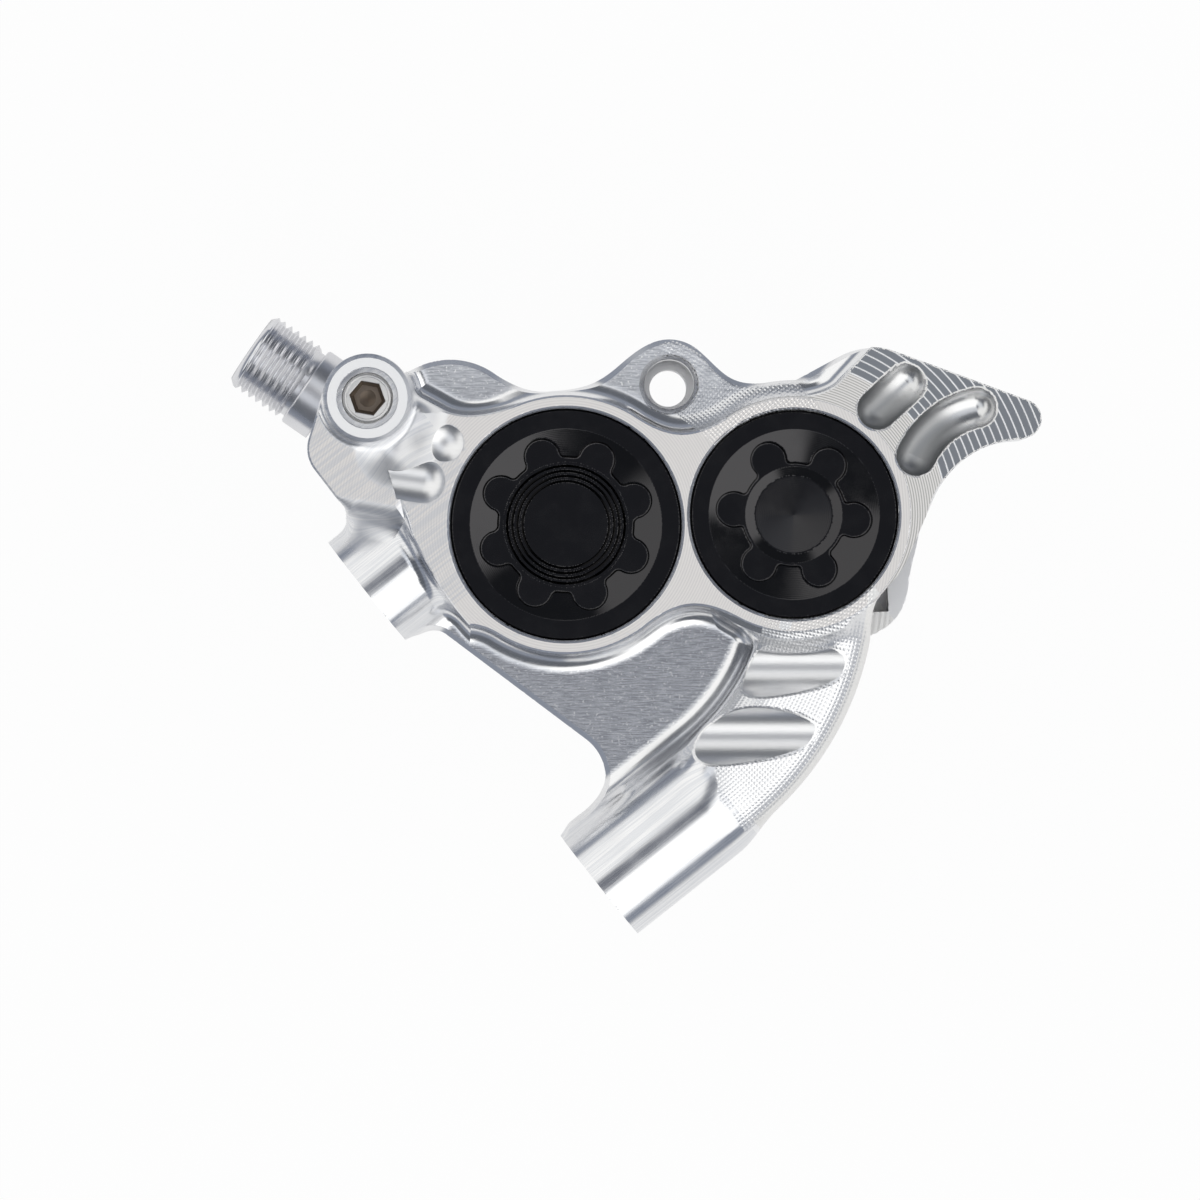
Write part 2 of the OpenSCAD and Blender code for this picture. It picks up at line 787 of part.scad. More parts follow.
module lobes(at, count, reach, r, turn)
  for (i = [0 : count - 1]) {
    a = turn + i * 360 / count;
    rod_y(at + reach * [cos(a), sin(a)], r, cap_face_y - 1, cap_face_y + key_depth);
  }

// The dished ring falls from the rim of the recess to the well, and a little further
module dish(at, rim, well) {
  past = 0.5;
  cone_y(at, rim, well - past, cap_face_y, cap_face_y + dish_depth * (1 + past / (rim - well)));
}

module large_bore_cap()
  color(black)
    difference() {
      cap_blank(large_at, large_cap_r);
      difference() {
        union() {
          dish(large_at, large_key_r, large_well_r);
          lobes(large_at, 8, large_lobe_at, large_lobe_r, large_lobe_turn);
          rod_y(large_at, large_well_r, cap_face_y - 1, cap_face_y + key_depth);
        }
        cone_y(large_at, hub_r, hub_r + 0.8 * (key_depth + 1 - hub_drop), cap_face_y + hub_drop,
          cap_face_y + key_depth + 1);
      }
    }

module small_bore_cap() {
  eye_y = cap_face_y + key_depth + 0.45;
  color(black)
    difference() {
      cap_blank(small_at, small_cap_r);
      dish(small_at, small_key_r, small_well_r);
      lobes(small_at, 6, small_lobe_at, small_lobe_r, small_lobe_turn);
      rod_y(small_at, small_well_r, cap_face_y - 1, cap_face_y + key_depth);
      rod_y(small_at, eye_r, cap_face_y - 1, eye_y);
      cone_y(small_at, eye_r - 0.15, 0.4, eye_y, eye_y + 0.95);
    }
}

module cap_oring(at, cap_r)
  color(rubber)
    ring_y(at, cap_r - cap_shoulder - oring_t, cap_r - cap_shoulder, cap_neck_y, cap_end_y);

module large_cap_oring() cap_oring(large_at, large_cap_r);
module small_cap_oring() cap_oring(small_at, small_cap_r);

// A piston is a cup whose open front presses on the pad; side is 1 in the outer half, -1 in the inner
module piston(at, r, side)
  color(steel)
    translate([at[0], rotor_y, at[1]])
      rotate([90 * side, 0, 0])
        rotate_extrude($fn = 96) {
          front = pocket_half - piston_proud;
          back = front + piston_len;
          polygon([
            [r - piston_wall, front],
            [r - 0.2, front],
            [r, front + 0.2],
            [r, back - 0.8],
            [r - 0.8, back],
            [0, back],
            [0, front + piston_hollow],
            [r - piston_wall, front + piston_hollow]
          ]);
        }

module outer_large_piston() piston(large_at, large_piston_r, 1);
module outer_small_piston() piston(small_at, small_piston_r, 1);
module inner_large_piston() piston(large_at, large_piston_r, -1);
module inner_small_piston() piston(small_at, small_piston_r, -1);

// A seal round a piston, with its near side this far from the mouth of the bore
module seal(at, r, side, from_mouth, thick, width) {
  near = rotor_y + side * (pocket_half + from_mouth);
  color(rubber)
    ring_y(at, r + seal_fit, r + seal_fit + thick, min(near, near + side * width),
      max(near, near + side * width));
}

module outer_large_seal() seal(large_at, large_piston_r, -1, seal_at, seal_t, seal_w);
module outer_small_seal() seal(small_at, small_piston_r, -1, seal_at, seal_t, seal_w);
module inner_large_seal() seal(large_at, large_piston_r, 1, seal_at, seal_t, seal_w);
module inner_small_seal() seal(small_at, small_piston_r, 1, seal_at, seal_t, seal_w);
module outer_large_wiper() seal(large_at, large_piston_r, -1, wiper_at, wiper_t, wiper_w);
module outer_small_wiper() seal(small_at, small_piston_r, -1, wiper_at, wiper_t, wiper_w);
module inner_large_wiper() seal(large_at, large_piston_r, 1, wiper_at, wiper_t, wiper_w);
module inner_small_wiper() seal(small_at, small_piston_r, 1, wiper_at, wiper_t, wiper_w);

// Bleed screw: hexagon socket at the outer end, an O-ring groove and a cone at the inner end
bleed_groove_y = bleed_face_y + 2.9;
bleed_groove_w = 0.8;
bleed_groove_t = 0.6;
bleed_fit = 0.03;

module bleed_screw()
  color(steel)
    difference() {
      turned(bleed_at)
        polygon([
          [0, -bleed_face_y],
          [bleed_r - 0.35, -bleed_face_y],
          [bleed_r - bleed_fit, -bleed_face_y - 0.3],
          [bleed_r - bleed_fit, -bleed_groove_y],
          [bleed_r - bleed_groove_t, -bleed_groove_y],
          [bleed_r - bleed_groove_t, -bleed_groove_y - bleed_groove_w],
          [bleed_r - bleed_fit, -bleed_groove_y - bleed_groove_w],
          [bleed_r - bleed_fit, -bleed_end_y + 0.6],
          [passage_r, -bleed_end_y + seat_gap],
          [0, -bleed_end_y + seat_gap]
        ]);
      translate([bleed_x, bleed_face_y + 2.4, bleed_z])
        rotate([90, 0, 0])
          cylinder(r = bleed_key / 2 / cos(30), h = 4, $fn = 6);
    }

module bleed_screw_oring()
  color(rubber)
    ring_y(bleed_at, bleed_r - bleed_groove_t, bleed_r - bleed_fit, bleed_groove_y,
      bleed_groove_y + bleed_groove_w);

// Hose fitting: thread, plain neck and a spigot with an O-ring in the port
module fitting_turned()
  translate([hose_end[0], hose_y, hose_end[1]])
    rotate([0, 90 - hose_slope, 0])
      rotate_extrude($fn = 96)
        children();

fitting_groove_at = hose_len + 0.6;
fitting_groove_w = 1;
fitting_groove_t = 0.8;
hose_bore_r = 1.2;

module hose_fitting()
  color("silver")
    fitting_turned()
      polygon([
        [hose_bore_r + 1.2, 0],
        [hose_thread_r - 0.5, 0],
        [hose_thread_r, 0.5],
        [hose_thread_r, hose_thread_len],
        [hose_relief_r, hose_thread_len],
        [hose_relief_r, hose_thread_len + hose_relief_w],
        [hose_neck_r, hose_thread_len + hose_relief_w],
        [hose_neck_r, hose_len],
        [spigot_r, hose_len],
        [spigot_r, fitting_groove_at],
        [spigot_r - fitting_groove_t, fitting_groove_at],
        [spigot_r - fitting_groove_t, fitting_groove_at + fitting_groove_w],
        [spigot_r, fitting_groove_at + fitting_groove_w],
        [spigot_r, fitting_groove_at + fitting_groove_w + 0.4],
        [spigot_tip_r, fitting_groove_at + fitting_groove_w + 0.4],
        [spigot_tip_r, hose_len + spigot_len],
        [hose_bore_r, hose_len + spigot_len],
        [hose_bore_r, 1.6]
      ]);

module hose_fitting_oring()
  color(rubber)
    fitting_turned()
      translate([spigot_r - fitting_groove_t, fitting_groove_at])
        square([fitting_groove_t, fitting_groove_w]);

// Brake pads: side is -1 for the outer pad
module backplate(side) {
  near = pocket_half - piston_proud;
  y_a = rotor_y + side * near;
  y_b = rotor_y + side * (near - backplate_t);
  color(steel)
    slab(min(y_a, y_b), max(y_a, y_b))
      difference() {
        union() {
          pad_frame() {
            round_box([-pad_len / 2, -pad_low], [pad_len / 2, pad_high], 3);
            translate([pin_along - ear_neck / 2, 0])
              square([ear_neck, pin_out]);
          }
          disc_at(pin_at, ear_r);
        }
        disc_at(pin_at, pin_clear_r + ear_play);
      }
}

module lining(side) {
  near = pocket_half - piston_proud - backplate_t;
  y_a = rotor_y + side * near;
  y_b = rotor_y + side * (near - lining_t);
  y_groove = rotor_y + side * (near - lining_t + dust_groove_depth);
  color([0.35, 0.31, 0.28])
    difference() {
      slab(min(y_a, y_b), max(y_a, y_b))
        pad_frame()
          round_box([lining_margin - pad_len / 2, lining_margin - pad_low],
            [pad_len / 2 - lining_margin, pad_high - lining_margin], 3);
      slab(min(y_b, y_groove), max(y_b, y_groove))
        pad_frame()
          translate([-dust_groove_w / 2, -pad_low])
            square([dust_groove_w, pad_low + pad_high]);
    }
}

module outer_pad_backplate() backplate(-1);
module inner_pad_backplate() backplate(1);
module outer_pad_lining() lining(-1);
module inner_pad_lining() lining(1);

caliper_body();
large_bore_cap();
small_bore_cap();
large_cap_oring();
small_cap_oring();
outer_large_piston();
outer_small_piston();
inner_large_piston();
inner_small_piston();
outer_large_seal();
outer_small_seal();
inner_large_seal();
inner_small_seal();
outer_large_wiper();
outer_small_wiper();
inner_large_wiper();
inner_small_wiper();
bleed_screw();
bleed_screw_oring();
hose_fitting();
hose_fitting_oring();
outer_pad_backplate();
outer_pad_lining();
inner_pad_backplate();
inner_pad_lining();
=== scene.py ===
"""Flat-mount disc brake caliper: the dressed model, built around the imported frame.

Lengths in the classes are millimetres in the frame of the part: X along the mount bolts, Y along the
bores towards the wheel, Z off the mounting plane. Meshes are written in metres.
"""

import logging
import math
import time
from concurrent.futures import ThreadPoolExecutor
from dataclasses import dataclass
from enum import Enum
from typing import Callable, Optional, Sequence

import bmesh
import bpy
import numpy as np
from mathutils import Matrix


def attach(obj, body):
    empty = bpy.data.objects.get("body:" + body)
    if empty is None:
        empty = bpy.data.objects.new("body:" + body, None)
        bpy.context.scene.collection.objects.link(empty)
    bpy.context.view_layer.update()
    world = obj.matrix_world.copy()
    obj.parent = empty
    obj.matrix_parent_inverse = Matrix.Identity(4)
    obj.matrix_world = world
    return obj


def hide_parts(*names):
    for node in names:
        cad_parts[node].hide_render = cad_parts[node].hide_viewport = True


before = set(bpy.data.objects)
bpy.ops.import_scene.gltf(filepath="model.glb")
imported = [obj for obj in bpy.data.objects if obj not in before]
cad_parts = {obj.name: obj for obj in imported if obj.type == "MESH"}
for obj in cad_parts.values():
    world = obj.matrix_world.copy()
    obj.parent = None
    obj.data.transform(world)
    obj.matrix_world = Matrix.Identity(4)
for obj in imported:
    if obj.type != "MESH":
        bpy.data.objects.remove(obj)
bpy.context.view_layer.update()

log = logging.getLogger("caliper")
logging.basicConfig(level=logging.INFO, format="%(message)s")

Array = np.ndarray
Field = Callable[[Array, Array, Array], Array]
Point2 = tuple[float, float]
Point3 = tuple[float, float, float]
Outline = tuple[Point2, ...]
Socket = bpy.types.NodeSocket
MM = 0.001
FULL_TURN = 2 * math.pi
SLOT_MID = 13.0  # the rotor's middle plane along Y
PIN_AT = (-14.6, 33.0)
BLEED_AT = (-30.3, 10.9)
HOSE_END = (-40.6, 3.0, 5.4)
HOSE_AXIS = (0.9563, 0.0, 0.2924)


class Face(Enum):
    """Which half of the caliper a doubled piece belongs to."""

    OUTER = -1
    INNER = 1


# Distance fields


def soft_or(a: Array, b: Array, r: float) -> Array:
    """Joins two fields with a hollow round of radius r in the corner between them."""
    return np.maximum(r, np.minimum(a, b)) - np.hypot(np.maximum(r - a, 0), np.maximum(r - b, 0))


def soft_and(a: Array, b: Array, r: float) -> Array:
    """Keeps what two fields share, with their common edge rounded to radius r."""
    return np.minimum(-r, np.maximum(a, b)) + np.hypot(np.maximum(r + a, 0), np.maximum(r + b, 0))


def bevel_and(a: Array, b: Array, r: float) -> Array:
    """Keeps what two fields share, with their common edge bevelled by r on each side."""
    return np.maximum(np.maximum(a, b), (a + b + r) * math.sqrt(0.5))


def disc(x: Array, z: Array, at: Point2, r: float) -> Array:
    """Distance to a disc in the X-Z plane."""
    return np.hypot(x - at[0], z - at[1]) - r


def link(x: Array, z: Array, a: Point2, ra: float, b: Point2, rb: float) -> Array:
    """Distance to two discs and the band between their outer tangents.

    Args:
        x: X of the points.
        z: Z of the points.
        a: The first end.
        ra: Radius at the first end.
        b: The second end.
        rb: Radius at the second end.

    Returns:
        The distances.
    """
    h = math.hypot(b[0] - a[0], b[1] - a[1])
    ux, uz = (b[0] - a[0]) / h, (b[1] - a[1]) / h
    py = (x - a[0]) * ux + (z - a[1]) * uz
    px = np.abs(-(x - a[0]) * uz + (z - a[1]) * ux)
    k = (ra - rb) / h
    c = math.sqrt(1 - k * k)
    dot = -k * px + c * py
    side = c * px + k * py - ra
    return np.where(dot < 0, np.hypot(px, py) - ra, np.where(dot > c * h, np.hypot(px, py - h) - rb, side))


def facets(x: Array, z: Array, corners: Sequence[Point2]) -> Array:
    """Distance to a flat shape bulging outwards everywhere, its corners given clockwise.

    Args:
        x: X of the points.
        z: Z of the points.
        corners: The corners.

    Returns:
        The distances.
    """
    out = np.full(np.shape(x), -1e9)
    for (ax, az), (bx, bz) in zip(corners, [*corners[1:], corners[0]]):
        n = math.hypot(bx - ax, bz - az)
        out = np.maximum(out, ((x - ax) * (az - bz) + (z - az) * (bx - ax)) / n)
    return out


def round_box(u: Array, v: Array, half_u: float, half_v: float, corner: float) -> Array:
    """Distance to a rectangle with round corners, u and v being places from its middle."""
    a, b = np.abs(u) - half_u + corner, np.abs(v) - half_v + corner
    return np.hypot(np.maximum(a, 0), np.maximum(b, 0)) + np.minimum(np.maximum(a, b), 0) - corner


def rod(x: Array, y: Array, z: Array, a: Point3, b: Point3, r: float) -> Array:
    """Distance to a rod with round ends between two points.

    Args:
        x: X of the points.
        y: Y of the points.
        z: Z of the points.
        a: The first end.
        b: The second end.
        r: Its radius.

    Returns:
        The distances.
    """
    d = np.subtract(b, a)
    t = ((x - a[0]) * d[0] + (y - a[1]) * d[1] + (z - a[2]) * d[2]) / float(d @ d)
    t = np.clip(t, 0, 1)
    return np.sqrt((x - a[0] - t * d[0]) ** 2 + (y - a[1] - t * d[1]) ** 2 + (z - a[2] - t * d[2]) ** 2) - r


def straight_rod(x: Array, y: Array, z: Array, a: Point3, along: Point3, r: float) -> Array:
    """Distance to an endless rod through a point.

    Args:
        x: X of the points.
        y: Y of the points.
        z: Z of the points.
        a: The first end.
        along: Its direction.
        r: Its radius.

    Returns:
        The distances.
    """
    d = np.array(along, float) / np.linalg.norm(along)
    px, py, pz = x - a[0], y - a[1], z - a[2]
    t = px * d[0] + py * d[1] + pz * d[2]
    return np.sqrt(np.maximum(px * px + py * py + pz * pz - t * t, 0)) - r


def ease(t: Array) -> Array:
    """Smooth step from 0 to 1."""
    t = np.clip(t, 0, 1)
    return t * t * (3 - 2 * t)


# Meshing


@dataclass
class FieldMesher:
    """Turns a distance field into a mesh whose edges stay sharp where the field has them.

    Attributes:
        value: The field, in millimetres, negative inside.
        low: Lowest corner of the box to search.
        high: Highest corner of the box.
        step: Edge of one cell.
        most: The triangles that the finished mesh may have.
        zones: Tells for points how far they lie in four zones, as rows from 0 to 1. The mesh gets them
            as its attribute "zones".
    """

    value: Field
    low: Point3
    high: Point3
    step: float
    most: int = 190_000
    zones: Optional[Field] = None

    def at(self, p: Array) -> Array:
        """Works the field out at points, in parts, on all cores.

        Args:
            p: Points as columns.

        Returns:
            The values.
        """
        parts = [p[:, s : s + 32768] for s in range(0, p.shape[1], 32768)]
        with ThreadPoolExecutor(4) as pool:
            done = list(pool.map(lambda q: self.value(*np.ascontiguousarray(q, np.float32)), parts))
        return np.concatenate(done) if done else np.zeros(0, np.float32)

    def _grid(self) -> Array:
        """Samples the field at the cells' corners, going down by halves wherever the surface may pass.

        Returns:
            The values; away from the surface only their signs count.
        """
        large, small = 16, 4
        n = [int(math.ceil((h - l) / self.step / large)) for l, h in zip(self.low, self.high)]
        full = np.empty([v * large + 1 for v in n], np.float32)
        low = np.array(self.low, np.float32)[:, None]
        todo = np.stack(np.meshgrid(*[np.arange(v) * large for v in n], indexing="ij"), 0).reshape(3, -1)
        size = large
        while True:
            f = self.at((todo + size / 2) * self.step + low)
            near = np.abs(f) < 1.12 * size * self.step
            for (i, j, k), v in zip(todo[:, ~near].T, f[~near]):
                full[i : i + size + 1, j : j + size + 1, k : k + size + 1] = v
            todo = todo[:, near]
            if size == small:
                break
            size //= 2
            eight = np.array([(i, j, k) for i in (0, size) for j in (0, size) for k in (0, size)]).T
            todo = (todo[:, :, None] + eight[:, None, :]).reshape(3, -1)
        ramp = np.arange(small + 1)
        off = np.stack(np.meshgrid(ramp, ramp, ramp, indexing="ij"), 0).reshape(3, 1, -1)
        for s in range(0, todo.shape[1], 20000):
            idx = (todo[:, s : s + 20000, None] + off).reshape(3, -1)
            full[idx[0], idx[1], idx[2]] = self.at(idx * self.step + low)
        return full

    def slope(self, p: Array, h: float = 0.008) -> Array:
        """Unit normals of the field at points.

        Args:
            p: Points as columns.
            h: Half the distance that the differences are taken over.

        Returns:
            One unit vector a column.
        """
        g = np.zeros((3, p.shape[1]))
        for k in ((1, -1, -1), (-1, -1, 1), (-1, 1, -1), (1, 1, 1)):
            way = np.array(k, float)[:, None]
            g += way * self.at(p + way * h)
        return g / np.maximum(np.linalg.norm(g, axis=0), 1e-12)

    def _crossings(self, grid: Array, axis: int) -> tuple[Array, Array, Array]:
        """Finds where the surface crosses the cell edges along one axis.

        Args:
            grid: The sampled field.
            axis: The axis of the edges.

        Returns:
            The lower ends' indices, the crossing points, and whether each edge leaves the solid.
        """
        lo = [slice(None)] * 3
        hi = [slice(None)] * 3
        lo[axis], hi[axis] = slice(0, -1), slice(1, None)
        inside = grid < 0
        idx = np.argwhere(inside[tuple(lo)] != inside[tuple(hi)]).T
        f0 = grid[tuple(idx)].astype(float)
        leaves = f0 < 0
        far = idx.copy()
        far[axis] += 1
        f1 = grid[tuple(far)].astype(float)
        a = idx * self.step + np.array(self.low)[:, None]
        t0, t1 = np.zeros(f0.shape), np.ones(f0.shape)
        for _ in range(4):
            t = t0 - f0 * (t1 - t0) / np.where(f1 == f0, 1e-9, f1 - f0)
            t = np.clip(t, t0 + 0.02 * (t1 - t0), t1 - 0.02 * (t1 - t0))
            p = a.copy()
            p[axis] += t * self.step
            f = self.at(p).astype(float)
            first = (f < 0) == leaves
            t0, t1 = np.where(first, t, t0), np.where(first, t1, t)
            f0, f1 = np.where(first, f, f0 / 2), np.where(first, f1 / 2, f)
        p = a.copy()
        p[axis] += np.where(np.abs(f0) < np.abs(f1), t0, t1) * self.step
        return idx.T, p, leaves

    def _corners(self, grid: Array) -> tuple[Array, Array]:
        """Places one point in each cell that the surface passes, and joins them in squares.

        Args:
            grid: The sampled field.

        Returns:
            The points in millimetres, and the squares as rows of four indices.
        """
        dims = np.array(grid.shape)
        cells, points, normals, rings, turns = [], [], [], [], []
        for axis in range(3):
            idx, p, leaves = self._crossings(grid, axis)
            u, v = (axis + 1) % 3, (axis + 2) % 3
            ok = (idx[:, u] > 0) & (idx[:, v] > 0) & (idx[:, u] < dims[u] - 1) & (idx[:, v] < dims[v] - 1)
            idx, p, leaves = idx[ok], p[:, ok], leaves[ok]
            n = self.slope(p).T
            p = p.T
            ring = []
            for du, dv in ((0, 0), (1, 0), (1, 1), (0, 1)):
                c = idx.copy()
                c[:, u] -= du
                c[:, v] -= dv
                key = (c[:, 0] * dims[1] + c[:, 1]) * dims[2] + c[:, 2]
                ring.append(key)
                cells.append(key)
                points.append(p)
                normals.append(n)
            rings.append(np.stack(ring, 1))
            turns.append(leaves)
        keys, where = np.unique(np.concatenate(cells), return_inverse=True)
        p, n = np.concatenate(points), np.concatenate(normals)
        count = np.bincount(where, minlength=len(keys)).astype(float)
        mass = np.stack([np.bincount(where, p[:, k], len(keys)) for k in range(3)], 1) / count[:, None]
        rel = p - mass[where]
        reach = (n * rel).sum(1)
        ata = np.zeros((len(keys), 3, 3))
        atb = np.zeros((len(keys), 3))
        for i in range(3):
            atb[:, i] = np.bincount(where, n[:, i] * reach, len(keys))
            for j in range(i, 3):
                ata[:, i, j] = ata[:, j, i] = np.bincount(where, n[:, i] * n[:, j], len(keys))
        ata += np.eye(3) * 0.02
        x = np.linalg.solve(ata, atb[..., None])[..., 0]
        cell = np.stack([keys // (dims[1] * dims[2]), keys // dims[2] % dims[1], keys % dims[2]], 1)
        low = cell * self.step + np.array(self.low)
        x = np.clip(mass + x, low - 0.02 * self.step, low + 1.02 * self.step)
        quads = []
        for ring, leaves in zip(rings, turns):
            q = np.searchsorted(keys, ring)
            q[~leaves] = q[~leaves][:, ::-1]
            quads.append(q)
        return x, np.concatenate(quads)

    def build(self, name: str) -> bpy.types.Object:
        """Makes the finished object.

        Args:
            name: Name of the piece.

        Returns:
            A mesh object in metres, shaded by the field's own normals.
        """
        start = time.time()
        pts, quads = self._corners(self._grid())
        obj = show(make_mesh(name, pts * MM, quads))
        tris = 2 * len(quads)
        if tris > self.most:
            thin = obj.modifiers.new("thin", "DECIMATE")
            thin.ratio = self.most / tris
            bake(obj)
        self.shade(obj)
        took = time.time() - start
        log.info("%s: %d cells, %d triangles, %.1f s", name, len(quads), len(obj.data.polygons), took)
        return obj

    def shade(self, obj: bpy.types.Object) -> None:
        """Gives each face corner the field's own normal, so that rounds look round and edges sharp.

        Args:
            obj: The object.
        """
        mesh = obj.data
        co = np.empty(len(mesh.vertices) * 3)
        mesh.vertices.foreach_get("co", co)
        co = co.reshape(-1, 3) / MM
        vert = np.empty(len(mesh.loops), np.int64)
        mesh.loops.foreach_get("vertex_index", vert)
        total = np.empty(len(mesh.polygons), np.int64)
        mesh.polygons.foreach_get("loop_total", total)
        owner = np.repeat(np.arange(len(total)), total)
        mid = np.stack([np.bincount(owner, co[vert, k]) for k in range(3)], 1) / total[:, None]
        flat = np.empty(len(mesh.polygons) * 3)
        mesh.polygons.foreach_get("normal", flat)
        flat = flat.reshape(-1, 3)[owner]
        pull = co[vert] + (mid[owner] - co[vert]) * 0.3
        n = self.slope(pull.T).T
        n = np.where((n * flat).sum(1, keepdims=True) > 0.87, n, flat)
        mesh.polygons.foreach_set("use_smooth", np.ones(len(mesh.polygons), bool))
        mesh.normals_split_custom_set(n.tolist())
        if self.zones:
            layer = mesh.color_attributes.new("zones", "FLOAT_COLOR", "CORNER")
            layer.data.foreach_set("color", self.zones(*pull.T).T.astype(np.float32).ravel())


def make_mesh(name: str, pts: Array, faces: Array) -> bpy.types.Mesh:
    """Writes points and faces into a new mesh.

    Args:
        name: Name of the mesh.
        pts: Points in metres.
        faces: Rows of indices, three or four a face.

    Returns:
        The mesh.
    """
    mesh = bpy.data.meshes.new(name)
    k = faces.shape[1]
    mesh.vertices.add(len(pts))
    mesh.vertices.foreach_set("co", np.ascontiguousarray(pts, np.float32).ravel())
    mesh.loops.add(faces.size)
    mesh.loops.foreach_set("vertex_index", np.ascontiguousarray(faces, np.int32).ravel())
    mesh.polygons.add(len(faces))
    mesh.polygons.foreach_set("loop_start", np.arange(0, faces.size, k, dtype=np.int32))
    mesh.polygons.foreach_set("loop_total", np.full(len(faces), k, np.int32))
    mesh.update(calc_edges=True)
    mesh.validate()
    return mesh


def show(mesh: bpy.types.Mesh) -> bpy.types.Object:
    """Puts a mesh into the scene, as an object of its name.

    Args:
        mesh: The mesh.

    Returns:
        The finished object.
    """
    obj = bpy.data.objects.new(mesh.name, mesh)
    bpy.context.scene.collection.objects.link(obj)
    return obj


def bake(obj: bpy.types.Object) -> None:
    """Replaces an object's mesh with its evaluated one and drops its modifiers.

    Args:
        obj: The object.
    """
    deps = bpy.context.evaluated_depsgraph_get()
    mesh = bpy.data.meshes.new_from_object(obj.evaluated_get(deps))
    mesh.name = obj.name
    obj.modifiers.clear()
    obj.data = mesh


# The body


@dataclass
class Bore:
    """One cylinder of the body, with what screws into it.

    Attributes:
        at: Place of its axis in the X-Z plane.
        tower_r: Outside radius of its tower.
        mouth_r: Radius of the opening for the cap.
        piston_r: Radius of its pistons.
        cap_r: Radius of the cap's head.
    """

    at: Point2
    tower_r: float
    mouth_r: float
    piston_r: float
    cap_r: float


LARGE = Bore((-10.4, 17.8), 11.6, 10.48, 9.0, 10.4)
SMALL = Bore((1.6, 34.4), 10.6, 9.43, 8.0, 9.35)
ACROSS = (0.621, 0.784)
ALONG = (0.5859, 0.8104)
OUT = (-0.8104, 0.5859)
MIDDLE = (-4.4, 26.1)


def pad_frame(x: Array, z: Array) -> tuple[Array, Array]:
    """Places along the pads and out towards the rotor's rim."""
    dx, dz = x - MIDDLE[0], z - MIDDLE[1]
    return dx * ALONG[0] + dz * ALONG[1], dx * OUT[0] + dz * OUT[1]


def from_mid(y: Array) -> Array:
    """Distance from the rotor's middle plane."""
    return np.abs(y - SLOT_MID)


